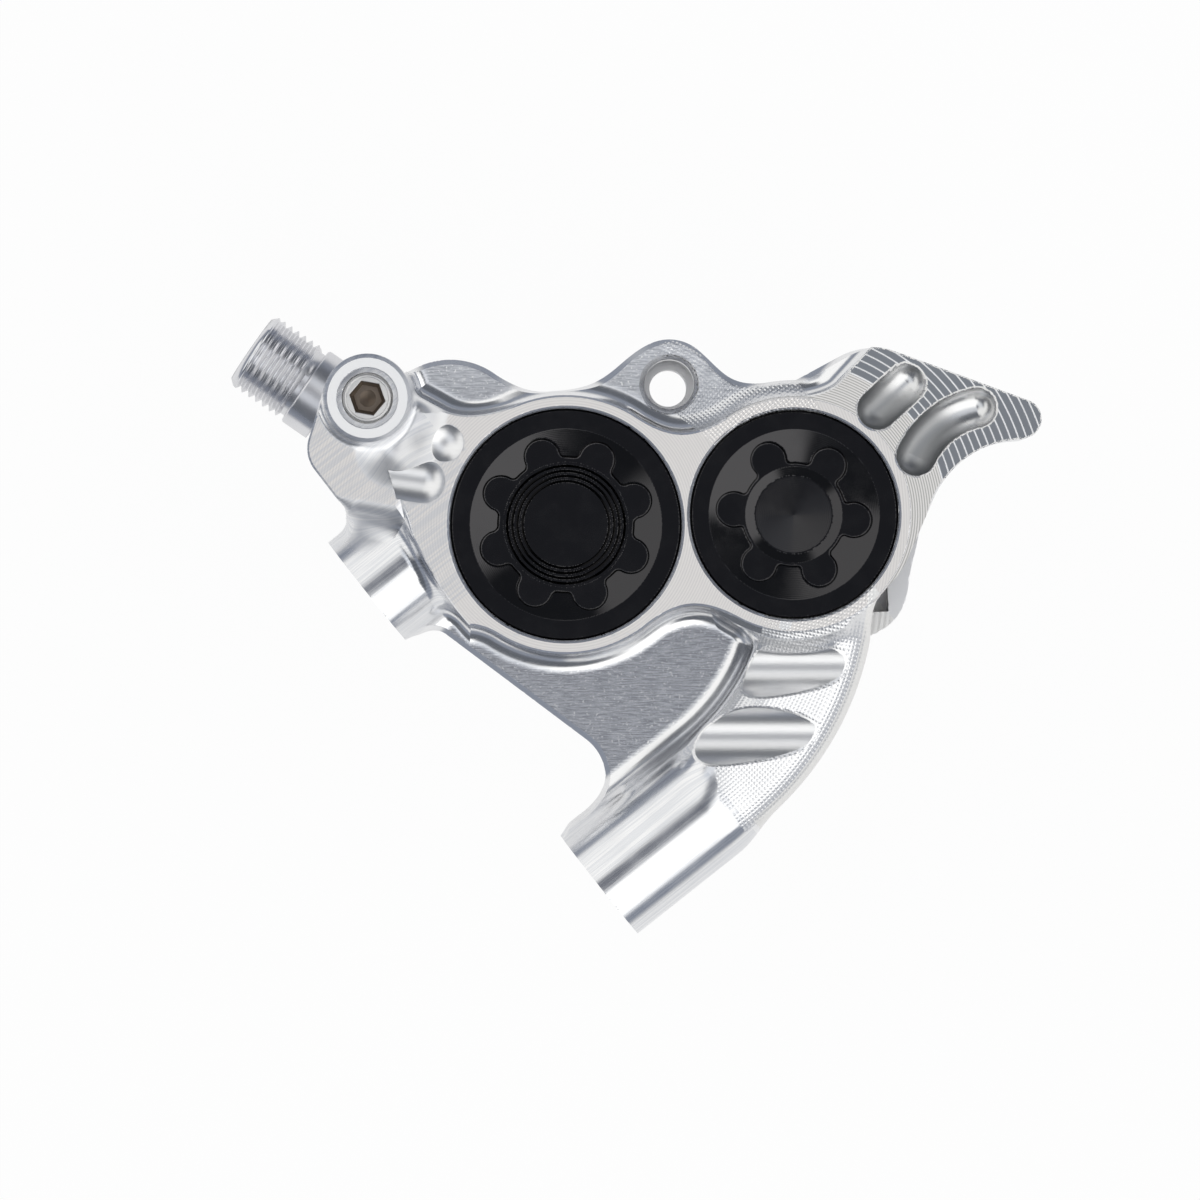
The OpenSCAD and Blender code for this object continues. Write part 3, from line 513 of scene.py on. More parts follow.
@dataclass
class CaliperBody:
    """The one-piece milled body.

    Attributes:
        ring_y: Level of the ring faces and the raised plate.
        ledge_y: Level of the humps, the pin boss and the web.
        slot_y: Outer wall of the rotor slot.
        mouth_y: Mouth of the outer bores.
        slot_in_y: Inner wall of the rotor slot.
        back_y: Back of the inner cylinders.
        plate_back_y: Back of the inner half beside them.
        floor_r: Radius of the ball cutter's fillets round the towers.
        tube_fillet: Radius of the fillets along the tubes.
        edge: Bevel along the edge of the ledge.
        boss_x: Distance of the mount bolts from the middle.
        boss_r: Radius of the tubes round them.
        left_top: Upper end of the left tube.
        bolt_r: Radius of the bolt holes.
        bolt_depth: Depth of the bolt holes.
        hump_at: Middle of the hump beside the large tower.
        hump_r: Its radius.
        pin_r: Radius of the pin boss.
        pin_hole_r: Radius of the hole through the pin boss.
        pin_thread_r: Radius of the hole for the pin in the inner half.
        bleed_r: Radius of the bleed boss.
        bleed_y: Level of its face.
        knee_at: Middle of the round of the port block under the bleed boss.
        knee_r: Its radius.
        toe_at: Middle of the small round at the foot of the port block.
        toe_r: Its radius.
        port_fill: Corners between those rounds.
        port_r: Radius of the hose port.
        port_face: A point of the plane where the hose port ends.
        plate_fill: Corners of the raised plate beside the large tower.
        web_fill: Corners of the web between the bosses and the towers.
        arch_fill: Corners of the hollow between the bosses.
        bend_at: Middle of the arm's bend.
        bend_r: Radius of the bend, to the middle of the arm.
        arm_slim: How much the arm is slimmer than its tube.
        grooves_at: Middles of the two grooves across the arm.
        groove_r: Radius of the grooves.
        groove_depth: Their depth.
        ball_r: Radius of the cutter of the short grooves in the raised plate.
        dimple_at: Middle of the round dimple.
        pocket_t: Half the length of the pad pocket.
        axle: The wheel's axle.
        rim_r: Radius of the space for the rotor.
        root_at: Middle of the round at the beak's root.
        root_r: Its radius.
        tip_at: Middle of the beak's tip.
        tip_r: Its radius.
        belly_at: Ends of the hollow edge of the beak.
        belly_r: Radius of that hollow.
        belly_fill: Corners that close the beak towards that hollow.
        beak_end: End of the beak's inner half along the pads.
        terraces: Number of steps on the beak.
        terrace_w: Width of one step.
        first_terrace: Radius of the first step round the small bore.
        step: Edge of the cells that the body is meshed with.
    """

    ring_y: float = -7.5
    ledge_y: float = 0.5
    slot_y: float = 10.0
    mouth_y: float = 6.0
    slot_in_y: float = 16.0
    back_y: float = 30.5
    plate_back_y: float = 25.5
    floor_r: float = 2.0
    tube_fillet: float = 2.2
    edge: float = 0.45
    boss_x: float = 17.0
    boss_r: float = 5.5
    left_top: float = 9.0
    bolt_r: float = 2.5
    bolt_depth: float = 7.0
    hump_at: Point2 = (-23.2, 14.6)
    hump_r: float = 6.9
    pin_r: float = 4.05
    pin_hole_r: float = 2.25
    pin_thread_r: float = 1.7
    bleed_r: float = 3.95
    bleed_y: float = -8.5
    knee_at: Point2 = (-28.2, 6.3)
    knee_r: float = 3.1
    toe_at: Point2 = (-24.9, 4.6)
    toe_r: float = 1.45
    port_fill: Outline = ((-30.5, 10.5), (-25, 14), (-19.5, 6.7), (-23.4, 3.2), (-27.9, 3.2))
    port_r: float = 3.87
    port_face: Point2 = (-32.376, 7.914)
    plate_fill: Outline = ((-29.0, 14.05), (-12, 21.2), (-10, 6.6), (-19.6, 6.6), (-26, 6.6))
    web_fill: Outline = ((-17, 1), (-17, 10), (-10.4, 18.8), (1.6, 35.5), (12, 33), (17, 14), (17, 1))
    arch_fill: Outline = ((-11.5, -5), (-11.5, 1), (11.4, 2.9), (11.4, -5))
    bend_at: Point2 = (-6.4, 14.5)
    bend_r: float = 23.4
    arm_slim: float = 0.9
    grooves_at: Outline = ((8.64, 21.2), (10.44, 13.42))
    groove_r: float = 3.0
    groove_depth: float = 1.35
    ball_r: float = 2.75
    dimple_at: Point2 = (-22.87, 13.84)
    pocket_t: float = 18.9
    axle: Point2 = (45.1, -10.7)
    rim_r: float = 72.0
    root_at: Point2 = (-1.2, 45.6)
    root_r: float = 5.9
    tip_at: Point2 = (7.6, 55.9)
    tip_r: float = 1.75
    belly_at: Outline = ((16.2, 49.3), (21.8, 38.8))
    belly_r: float = 9.0
    belly_fill: Outline = ((9.3, 55.4), (12.0, 36.0))
    beak_end: float = 25.4
    terraces: int = 16
    terrace_w: float = 0.7
    first_terrace: float = 13.6
    step: float = 0.15

    def towers(self, x: Array, z: Array) -> Array:
        """Outline of the two towers."""
        return soft_or(disc(x, z, LARGE.at, LARGE.tower_r), disc(x, z, SMALL.at, SMALL.tower_r), 6.0)

    def port_block(self, x: Array, z: Array) -> Array:
        """Outline of the block round the hose port.

        Args:
            x: X of the points.
            z: Z of the points.

        Returns:
            The distances.
        """
        lobe = link(x, z, BLEED_AT, self.bleed_r + 0.05, self.knee_at, self.knee_r)
        foot = link(x, z, self.knee_at, self.knee_r, self.toe_at, self.toe_r)
        fill = facets(x, z, self.port_fill)
        return np.minimum(np.minimum(lobe, foot), fill)

    def raised(self, x: Array, z: Array) -> Array:
        """Outline of everything at the level of the ring faces, the beak apart."""
        plate = np.minimum(facets(x, z, self.plate_fill), self.port_block(x, z))
        return soft_or(self.towers(x, z), plate, 3.5)

    def beak(self, x: Array, z: Array) -> Array:
        """Outline of the beak.

        Args:
            x: X of the points.
            z: Z of the points.

        Returns:
            The distances.
        """
        out = link(x, z, self.root_at, self.root_r, self.tip_at, self.tip_r)
        out = np.minimum(out, link(x, z, SMALL.at, SMALL.tower_r, self.root_at, self.root_r))
        fill = facets(x, z, [SMALL.at, self.root_at, self.tip_at, *self.belly_fill])
        belly = link(x, z, self.belly_at[0], self.belly_r, self.belly_at[1], self.belly_r)
        return soft_and(np.minimum(out, fill), -belly, 0.4)

    def beak_top(self, x: Array, z: Array) -> Array:
        """Outline of the terraced part of the beak, which leaves a ledge beside its root."""
        left = -((x + 5.3) * 0.987 + (z - 45.5) * 0.161)
        return soft_or(disc(x, z, SMALL.at, SMALL.tower_r), np.maximum(self.beak(x, z), left), 2.0)

    def arm_offset(self, x: Array, z: Array) -> Array:
        """Distance outwards from the middle line of the arm and its tube."""
        return np.where(z < self.bend_at[1], x - self.boss_x, disc(x, z, self.bend_at, self.bend_r))

    def arm_plan(self, x: Array, z: Array) -> Array:
        """Outline of the bent part of the arm."""
        u = self.arm_offset(x, z)
        return np.maximum(np.maximum(u - self.boss_r + self.arm_slim, -u - self.boss_r), 13.0 - z)

    def end_walls(self, x: Array, z: Array) -> Array:
        """Outline of what stands beside the pads, as deep as the rotor slot.

        Args:
            x: X of the points.
            z: Z of the points.

        Returns:
            The distances.
        """
        t, r = pad_frame(x, z)
        plan = np.minimum(np.minimum(self.raised(x, z), self.humps(x, z)), self.beak(x, z))
        return np.maximum(np.maximum(plan, self.pocket_t - np.abs(t)), -9.8 - r)

    def humps(self, x: Array, z: Array) -> Array:
        """Outline of the humps and the pin boss.

        Args:
            x: X of the points.
            z: Z of the points.

        Returns:
            The distances.
        """
        _, r = pad_frame(x, z)
        large = np.maximum(disc(x, z, LARGE.at, LARGE.tower_r + 0.55), 1.5 - r)
        small = np.maximum(disc(x, z, SMALL.at, SMALL.tower_r + 1.6), 1.5 - r)
        ledge = soft_or(large, disc(x, z, self.hump_at, self.hump_r), 3.0)
        ledge = soft_or(ledge, disc(x, z, PIN_AT, self.pin_r), 6.0)
        return soft_or(ledge, small, 5.0)

    def outline(self, x: Array, z: Array) -> Array:
        """Outline of the outer half, the mount bosses and the arm apart."""
        out = np.minimum(np.minimum(self.raised(x, z), self.humps(x, z)), facets(x, z, self.web_fill))
        return np.minimum(out, self.beak(x, z))

    def arch(self, x: Array, z: Array) -> Array:
        """The hollow under the web, between the bosses."""
        vault = link(x, z, (7.0, 2.9), 4.45, (-9.0, 0.6), 2.6)
        return np.minimum(vault, facets(x, z, self.arch_fill))

    def left_tube(self, x: Array, y: Array, z: Array) -> Array:
        """The left-hand mount boss."""
        return np.maximum(np.hypot(x + self.boss_x, y) - self.boss_r, z - self.left_top)

    def arm(self, x: Array, y: Array, z: Array) -> Array:
        """The tube of the right-hand boss and the arm that it turns into.

        Args:
            x: X of the points.
            y: Y of the points.
            z: Z of the points.

        Returns:
            The distances.
        """
        u = self.arm_offset(x, z)
        pipe = np.hypot(u, y) - self.boss_r
        slim = self.arm_slim * ease((z - 4) / 14)
        top = (-self.boss_r - y) * 0.96 + (u + 1.2) * 0.27
        sides = np.maximum(u - self.boss_r + slim, -u - self.boss_r)
        ridge = soft_and(soft_and(u - self.boss_r + slim, top, 2.4), -u - self.boss_r, 3.6)
        ridge = np.maximum(ridge, sides)
        t = ease((z - 11.5) / 5)
        out = pipe * (1 - t) + ridge * t
        groove = self.arm_grooves(x, y, z)
        out = bevel_and(out, -groove, 0.12)
        end = (x - 14.0) * 0.35 + (z - 33.9)
        return np.maximum(soft_and(out, np.maximum(end, -x + 6), 1.0), -z)

    def arm_grooves(self, x: Array, y: Array, z: Array) -> Array:
        """The two round grooves across the arm.

        Args:
            x: X of the points.
            y: Y of the points.
            z: Z of the points.

        Returns:
            The distances.
        """
        y0 = -self.boss_r + self.groove_depth - self.groove_r
        along = (ACROSS[0], 0.0, ACROSS[1])
        one, two = (straight_rod(x, y, z, (a, y0, b), along, self.groove_r) for a, b in self.grooves_at)
        return np.minimum(one, two)

    def fall(self, r: Array) -> Array:
        """How far the top of the beak lies under the ring faces, at a distance from the small bore."""
        return 0.22 * (np.sqrt(0.16 + 0.058 * np.maximum(r - SMALL.tower_r + 0.3, 0)) - 0.4) / 0.029

    def terraced(self, x: Array, y: Array, z: Array) -> Array:
        """The top of the beak, which falls away from the small tower, from some way on in round steps.

        Args:
            x: X of the points.
            y: Y of the points.
            z: Z of the points.

        Returns:
            The distances.
        """
        r = np.hypot(x - SMALL.at[0], z - SMALL.at[1])
        near = (self.ring_y + self.fall(np.minimum(r, self.first_terrace)) - y) * 0.88
        out = np.maximum(r - self.first_terrace, near)
        for i in range(self.terraces):
            edge = self.first_terrace + self.terrace_w * (i + 1) if i < self.terraces - 1 else 1e3
            level = self.ring_y + self.fall(self.first_terrace + self.terrace_w * (i + 0.5))
            out = np.minimum(out, np.maximum(r - edge, level - y))
        return out

    def beak_slots(self, x: Array, y: Array, z: Array) -> Array:
        """The two ball-ended slots in the beak, one straight and one bent, deeper where the terraces fall.

        Args:
            x: X of the points.
            y: Y of the points.
            z: Z of the points.

        Returns:
            The distances.
        """
        t = np.clip((z - 46.15) / 3.6, 0, 1)
        flat = np.hypot(x + 1.15 + 0.27 * t, z - 46.15 - 3.6 * t)
        one = np.hypot(flat, np.maximum(y + 5.9 - 0.35 * t, 0)) - 1.82
        a = np.clip(np.arctan2(z - 49.8, 11.5 - x), -0.455, 0.455)
        flat = np.hypot(x - 11.5 + 8.04 * np.cos(a), z - 49.8 - 8.04 * np.sin(a))
        two = np.hypot(flat, np.maximum(y + 5.05 - 1.87 * a, 0)) - 1.78
        return np.minimum(one, two)

    def leaf(self, x: Array, y: Array, z: Array) -> Array:
        """The short groove in the raised plate, cut off square at its outer side."""
        ends = (-24.75, self.ring_y - 1.9, 7.05), (-21.4, self.ring_y - 1.9, 10.2)
        return np.maximum(rod(x, y, z, *ends, self.ball_r), -((x + 25.05) * 0.368 + (z - 8.71) * 0.93))

    def dimple(self, x: Array, y: Array, z: Array) -> Array:
        """The round dimple in the raised plate."""
        dx, dz = x - self.dimple_at[0], z - self.dimple_at[1]
        return np.sqrt(dx**2 + (y - self.ring_y + 2.49) ** 2 + dz**2) - 3.0

    def zones(self, x: Array, y: Array, z: Array) -> Array:
        """Tells apart the slots, with a ramp along each that sets its gloss and its painted light, the other
        small cuts, the arm's milled face and the beak's rims, which get painted highlights.

        Args:
            x: X of the points.
            y: Y of the points.
            z: Z of the points.

        Returns:
            One row for each zone.
        """
        r = np.hypot(x - SMALL.at[0], z - SMALL.at[1])
        slots = self.beak_slots(x, y, z)
        # Rims: bevels along the slots and the beak's edge, which the material paints as bright highlights.
        rim = ((slots < 0.3) & (slots > 0.03)) | (np.abs(self.beak_top(x, z) + 0.1) < 0.08)
        rim = rim & (np.abs(self.terraced(x, y, z) + 0.16) < 0.13) & (z > 35) & (r > SMALL.tower_r)
        # Slots: a ramp along each slot, darker near and lighter far. The material uses it for gloss and for
        # painted light.
        slots = (np.abs(slots) < 0.04) * (0.4 + 0.6 * ease((r - 0.43 * x - 13.2) / 3.8))
        cuts = np.minimum(self.leaf(x, y, z), self.dimple(x, y, z))
        cuts = np.abs(np.minimum(cuts, self.arm_grooves(x, y, z))) < 0.05
        arm = (self.arm_plan(x, z) < -0.3) & (z > 13.6 - 0.6 * (x - 17)) & (y < 0.6) & ~cuts
        return np.array([slots, cuts, arm, rim])

    def outer_half(self, x: Array, y: Array, z: Array) -> Array:
        """Everything from the ring faces back to the rotor slot.

        Args:
            x: X of the points.
            y: Y of the points.
            z: Z of the points.

        Returns:
            The distances.
        """
        plan = self.outline(x, z)
        soft = 0.18 + 1.4 * ease(1.6 - np.hypot(x + 21.8, z - 5.2) / 2.7)
        raised = bevel_and(self.raised(x, z), self.ring_y - y, 0.18)
        raised = np.maximum(raised, soft_and(self.raised(x, z), self.ring_y - y, soft))
        beak = bevel_and(self.beak_top(x, z), self.terraced(x, y, z), 0.16)
        raised = np.minimum(raised, beak)
        ends = (-29.4, self.ring_y - 1.1, 15.9), (-25.2, self.ring_y - 1.3, 10.1)
        trough = rod(x, y, z, *ends, self.ball_r)
        raised = soft_and(raised, -trough, 1.5)
        boss = bevel_and(disc(x, z, BLEED_AT, self.bleed_r), self.bleed_y - y, 0.35)
        raised = soft_or(raised, boss, 0.9)
        floor = bevel_and(self.ledge_y - y, plan, self.edge)
        out = soft_or(raised, floor, self.floor_r)
        out = np.maximum(out, plan)
        out = bevel_and(out, -self.arch(x, z), self.edge)
        out = soft_or(out, self.left_tube(x, y, z), self.tube_fillet)
        out = soft_or(out, self.arm(x, y, z), self.tube_fillet)
        out = np.maximum(out, -z)
        out = bevel_and(out, -self.beak_slots(x, y, z), 0.2)
        out = self.surface_cuts(out, x, y, z)
        deep = np.minimum(self.end_walls(x, z), self.arm_plan(x, z))
        return np.maximum(out, np.minimum(y - self.mouth_y, np.maximum(y - self.slot_y, deep)))

    def surface_cuts(self, out: Array, x: Array, y: Array, z: Array) -> Array:
        """Cuts the dimple, the leaf-shaped groove and the pin hole into the outer face.

        Args:
            out: Distances to the body so far.
            x: X of the points.
            y: Y of the points.
            z: Z of the points.

        Returns:
            The distances.
        """
        out = np.maximum(out, -np.minimum(self.dimple(x, y, z), self.leaf(x, y, z)))
        hole = disc(x, z, PIN_AT, self.pin_hole_r)
        cone = np.maximum(hole - 0.45 + np.maximum(y - self.ledge_y, 0), y - self.ledge_y - 1)
        return np.maximum(out, -np.minimum(hole, cone))

    def bored(self, out: Array, x: Array, y: Array, z: Array, bore: Bore) -> Array:
        """Cuts one stepped cylinder, with the grooves of its seals and wipers.

        Args:
            out: Distances to the body so far.
            x: Places along the bolt line.
            y: Places along the bores.
            z: Heights over the mounting plane.
            bore: The cylinder.

        Returns:
            The distances.
        """
        d = np.hypot(x - bore.at[0], z - bore.at[1])
        out = bevel_and(out, -np.maximum(d - bore.mouth_r, y + 5.45), 0.18)
        out = np.maximum(out, -np.maximum(d - bore.mouth_r + 0.43, y + 2.45))
        out = np.maximum(out, -np.maximum(d - bore.piston_r - 0.04, y - 28.8))
        for depth, middle, half in ((1.13, 10.3, 1.0), (0.83, 8.0, 0.4)):
            groove = np.maximum(d - bore.piston_r - depth, np.abs(from_mid(y) - middle) - half)
            out = np.maximum(out, -groove)
        return out

    def bridges(self, x: Array, z: Array) -> Array:
        """Outline of what joins the two halves beyond the rotor's rim.

        Args:
            x: X of the points.
            z: Z of the points.

        Returns:
            The distances.
        """
        t, _ = pad_frame(x, z)
        left = np.minimum(disc(x, z, self.hump_at, self.hump_r), self.port_block(x, z))
        left = np.maximum(left, t + self.pocket_t)
        right = np.maximum(self.beak(x, z), np.maximum(self.pocket_t - t, t - self.beak_end))
        return np.maximum(np.minimum(left, right), -disc(x, z, self.axle, self.rim_r))

    def inner_plan(self, x: Array, z: Array) -> Array:
        """Outline of the inner half.

        Args:
            x: X of the points.
            z: Z of the points.

        Returns:
            The distances.
        """
        t, r = pad_frame(x, z)
        box = round_box(t, r + 0.45, 20.8, 10.95, 5.0)
        out = soft_or(box, disc(x, z, PIN_AT, self.pin_r), 3.0)
        out = soft_or(out, disc(x, z, self.hump_at, self.hump_r), 3.0)
        out = soft_or(out, np.maximum(self.beak(x, z), t - self.beak_end), 3.0)
        return np.minimum(out, self.bridges(x, z))

    def inner_half(self, x: Array, y: Array, z: Array) -> Array:
        """The half behind the rotor, with its two closed cylinders.

        Args:
            x: X of the points.
            y: Y of the points.
            z: Z of the points.

        Returns:
            The distances.
        """
        plate = soft_and(self.inner_plan(x, z), y - self.plate_back_y, 1.2)
        plate = np.maximum(plate, self.slot_in_y - y)
        large = disc(x, z, LARGE.at, LARGE.tower_r - 0.5)
        cylinders = soft_or(large, disc(x, z, SMALL.at, SMALL.tower_r - 0.6), 4.0)
        cylinders = soft_and(cylinders, y - self.back_y, 1.5)
        cylinders = np.maximum(cylinders, self.slot_in_y - y)
        return soft_or(plate, cylinders, 2.0)

    def value(self, x: Array, y: Array, z: Array) -> Array:
        """Distance to the body's surface, negative in the metal.

        Args:
            x: Places along the bolt line.
            y: Places along the bores.
            z: Heights over the mounting plane.

        Returns:
            The distances.
        """
        out = np.minimum(self.outer_half(x, y, z), self.inner_half(x, y, z))
        span = np.maximum(self.bridges(x, z), np.maximum(1.0 - y, y - self.plate_back_y + 1.5))
        out = np.minimum(out, span)
        slot = np.maximum(self.slot_y - y, y - self.slot_in_y)
        slot = np.maximum(disc(x, z, self.axle, self.rim_r), slot)
        t, r = pad_frame(x, z)
        pocket = np.maximum(np.maximum(np.abs(t) - self.pocket_t, -9.1 - r), from_mid(y) - 7)
        out = np.maximum(out, -np.minimum(slot, pocket))
        for bore in (LARGE, SMALL):
            out = self.bored(out, x, y, z, bore)
        for side in (-1, 1):
            hole = np.hypot(x - side * self.boss_x, y) - self.bolt_r
            out = bevel_and(out, -np.maximum(hole, z - self.bolt_depth), 0.3)
        out = np.maximum(out, -np.maximum(disc(x, z, PIN_AT, self.pin_thread_r), SLOT_MID - y))
        bleed = np.maximum(disc(x, z, BLEED_AT, 2.3), y + 3.9)
        bleed = np.minimum(bleed, np.maximum(disc(x, z, BLEED_AT, 2.7), y + 8.1))
        out = bevel_and(out, -bleed, 0.08)
        port = straight_rod(x, y, z, HOSE_END, HOSE_AXIS, self.port_r)
        depth = (x - self.port_face[0]) * HOSE_AXIS[0] + (z - self.port_face[1]) * HOSE_AXIS[2]
        return np.maximum(out, -np.maximum(port, depth))

    def build(self) -> bpy.types.Object:
        """Meshes the body.

        Returns:
            The finished object.
        """
        step = self.step
        low, high = (-35.0, -9.2, -0.4), (23.2, 31.2, 58.2)
        mesher = FieldMesher(self.value, low, high, step, 196_000, self.zones)
        return mesher.build("caliper_body_milled")


# Turned pieces and threads


def side_of(axis: Array) -> Array:
    """A unit vector square to an axis."""
    out = np.cross(axis, (0.0, 1.0, 0.0) if abs(axis[1]) < 0.9 else (1.0, 0.0, 0.0))
    return out / np.linalg.norm(out)


def turned(
    name: str, profile: Sequence[Point2], at: Point3, axis: Point3, around: int = 96
) -> bpy.types.Object:
    """Turns a closed profile round an axis.

    Args:
        name: Name of the piece.
        profile: Radii and places along the axis, in millimetres, the metal on the left of the way round.
        at: Start of the axis.
        axis: Its direction.
        around: Number of facets.

    Returns:
        The turned object, with its edges marked where they are sharp.
    """
    way = np.array(axis, float) / np.linalg.norm(axis)
    one = side_of(way)
    two = np.cross(way, one)
    radii, along = np.array(profile, float).T
    turn = np.linspace(0, FULL_TURN, around, endpoint=False)
    ring = np.cos(turn)[:, None] * one + np.sin(turn)[:, None] * two
    pts = np.array(at) + along[None, :, None] * way + radii[None, :, None] * ring[:, None, :]
    n = len(profile)
    i, j = np.meshgrid(np.arange(around), np.arange(n), indexing="ij")
    k, l = (i + 1) % around, (j + 1) % n
    quads = np.stack([i * n + j, i * n + l, k * n + l, k * n + j], -1).reshape(-1, 4)
    obj = show(make_mesh(name, pts.reshape(-1, 3) * MM, quads))
    tidy_normals(obj)
    return obj


def tidy_normals(obj: bpy.types.Object, angle: float = 32.0) -> None:
    """Merges doubles, turns all faces outwards and keeps edges sharp over an angle.

    Args:
        obj: The piece.
        angle: Degrees over which an edge stays sharp.
    """
    mesh = bmesh.new()
    mesh.from_mesh(obj.data)
    bmesh.ops.remove_doubles(mesh, verts=mesh.verts, dist=2e-6)
    bmesh.ops.dissolve_degenerate(mesh, edges=mesh.edges, dist=1e-6)
    bmesh.ops.recalc_face_normals(mesh, faces=mesh.faces)
    mesh.to_mesh(obj.data)
    mesh.free()
    obj.data.polygons.foreach_set("use_smooth", np.ones(len(obj.data.polygons), bool))
    obj.data.set_sharp_from_angle(angle=math.radians(angle))


def rows(a: Point2, b: Point2, step: float) -> list[Point2]:
    """Points from a up to just before b, a step apart at most."""
    n = max(1, int(math.ceil(math.hypot(b[0] - a[0], b[1] - a[1]) / step)))
    return [(a[0] + (b[0] - a[0]) * i / n, a[1] + (b[1] - a[1]) * i / n) for i in range(n)]


@dataclass
class ThreadTool:
    """Cuts a screw thread into a round surface, with a Geometry Nodes tree.

    Attributes:
        at: A point of the axis.
        axis: Direction of the axis.
        radius: Radius of the surface to be cut.
        pitch: Pitch of the thread.
        depth: Depth of the cut; below zero it cuts outwards, into the wall of a hole.
        start: Where the thread starts along the axis.
        end: Where it ends.
    """

    at: Point3
    axis: Point3
    radius: float
    pitch: float
    depth: float
    start: float
    end: float

    @staticmethod
    def tree() -> bpy.types.NodeTree:
        """Builds the tree, or returns it if it is there.

        Returns:
            The node tree, with named inputs for all sizes.
        """
        name = "cut_thread"
        if name in bpy.data.node_groups:
            return bpy.data.node_groups[name]
        nt = bpy.data.node_groups.new(name, "GeometryNodeTree")
        face = nt.interface
        face.new_socket("Geometry", in_out="INPUT", socket_type="NodeSocketGeometry")
        for label in ("Origin", "Axis", "Side"):
            face.new_socket(label, in_out="INPUT", socket_type="NodeSocketVector")
        for label in ("Radius", "Pitch", "Depth", "Start", "End"):
            face.new_socket(label, in_out="INPUT", socket_type="NodeSocketFloat")
        face.new_socket("Finish", in_out="INPUT", socket_type="NodeSocketMaterial")
        face.new_socket("Geometry", in_out="OUTPUT", socket_type="NodeSocketGeometry")
        kit = NodeKit(nt)
        given = kit.node("NodeGroupInput")
        pos = kit.node("GeometryNodeInputPosition").outputs[0]
        rel = kit.vector("SUBTRACT", pos, given.outputs["Origin"])
        along = kit.vector("DOT_PRODUCT", rel, given.outputs["Axis"])
        flat = kit.vector("SUBTRACT", rel, kit.vector("SCALE", given.outputs["Axis"], scale=along))
        reach = kit.vector("LENGTH", flat)
        unit = kit.vector("NORMALIZE", flat)
        other = kit.vector("CROSS_PRODUCT", given.outputs["Axis"], given.outputs["Side"])
        cos = kit.vector("DOT_PRODUCT", flat, given.outputs["Side"])
        sin = kit.vector("DOT_PRODUCT", flat, other)
        turn = kit.math("DIVIDE", kit.math("ARCTAN2", sin, cos), FULL_TURN)
        turns = kit.math("DIVIDE", along, given.outputs["Pitch"])
        phase = kit.math("FRACT", kit.math("SUBTRACT", turns, turn))
        wave = kit.math("ABSOLUTE", kit.math("SUBTRACT", kit.math("MULTIPLY", phase, 2.0), 1.0))
        shape = kit.math("SUBTRACT", kit.math("MULTIPLY", wave, 1.3), 0.12, clamp=True)
        rise = kit.math("SUBTRACT", along, given.outputs["Start"])
        rise = kit.math("DIVIDE", rise, given.outputs["Pitch"], clamp=True)
        fall = kit.math("SUBTRACT", given.outputs["End"], along)
        fall = kit.math("DIVIDE", fall, given.outputs["Pitch"], clamp=True)
        off = kit.math("ABSOLUTE", kit.math("SUBTRACT", reach, given.outputs["Radius"]))
        near = kit.math("LESS_THAN", off, 0.06 * MM)
        cut = kit.product(shape, near, rise, fall, given.outputs["Depth"])
        move = kit.vector("SCALE", unit, scale=cut)
        back = kit.vector("SCALE", move, scale=-1.0)
        put = kit.node("GeometryNodeSetPosition")
        kit.join(given.outputs["Geometry"], put.inputs["Geometry"])
        kit.join(back, put.inputs["Offset"])
        real = kit.node("GeometryNodeRealizeInstances")
        kit.join(put.outputs[0], real.inputs[0])
        paint = kit.node("GeometryNodeSetMaterial")
        kit.join(real.outputs[0], paint.inputs["Geometry"])
        kit.join(given.outputs["Finish"], paint.inputs["Material"])
        kit.join(paint.outputs[0], kit.node("NodeGroupOutput").inputs[0])
        return nt

    def cut(self, obj: bpy.types.Object, finish: bpy.types.Material) -> None:
        """Cuts the thread into a piece and leaves it a plain mesh.

        Args:
            obj: The piece.
            finish: The material that it gets.
        """
        way = np.array(self.axis, float) / np.linalg.norm(self.axis)
        values = {
            "Origin": np.array(self.at) * MM,
            "Axis": way,
            "Side": side_of(way),
            "Radius": self.radius * MM,
            "Pitch": self.pitch * MM,
            "Depth": self.depth * MM,
            "Start": self.start * MM,
            "End": self.end * MM,
            "Finish": finish,
        }
        apply_tree(obj, self.tree(), values)


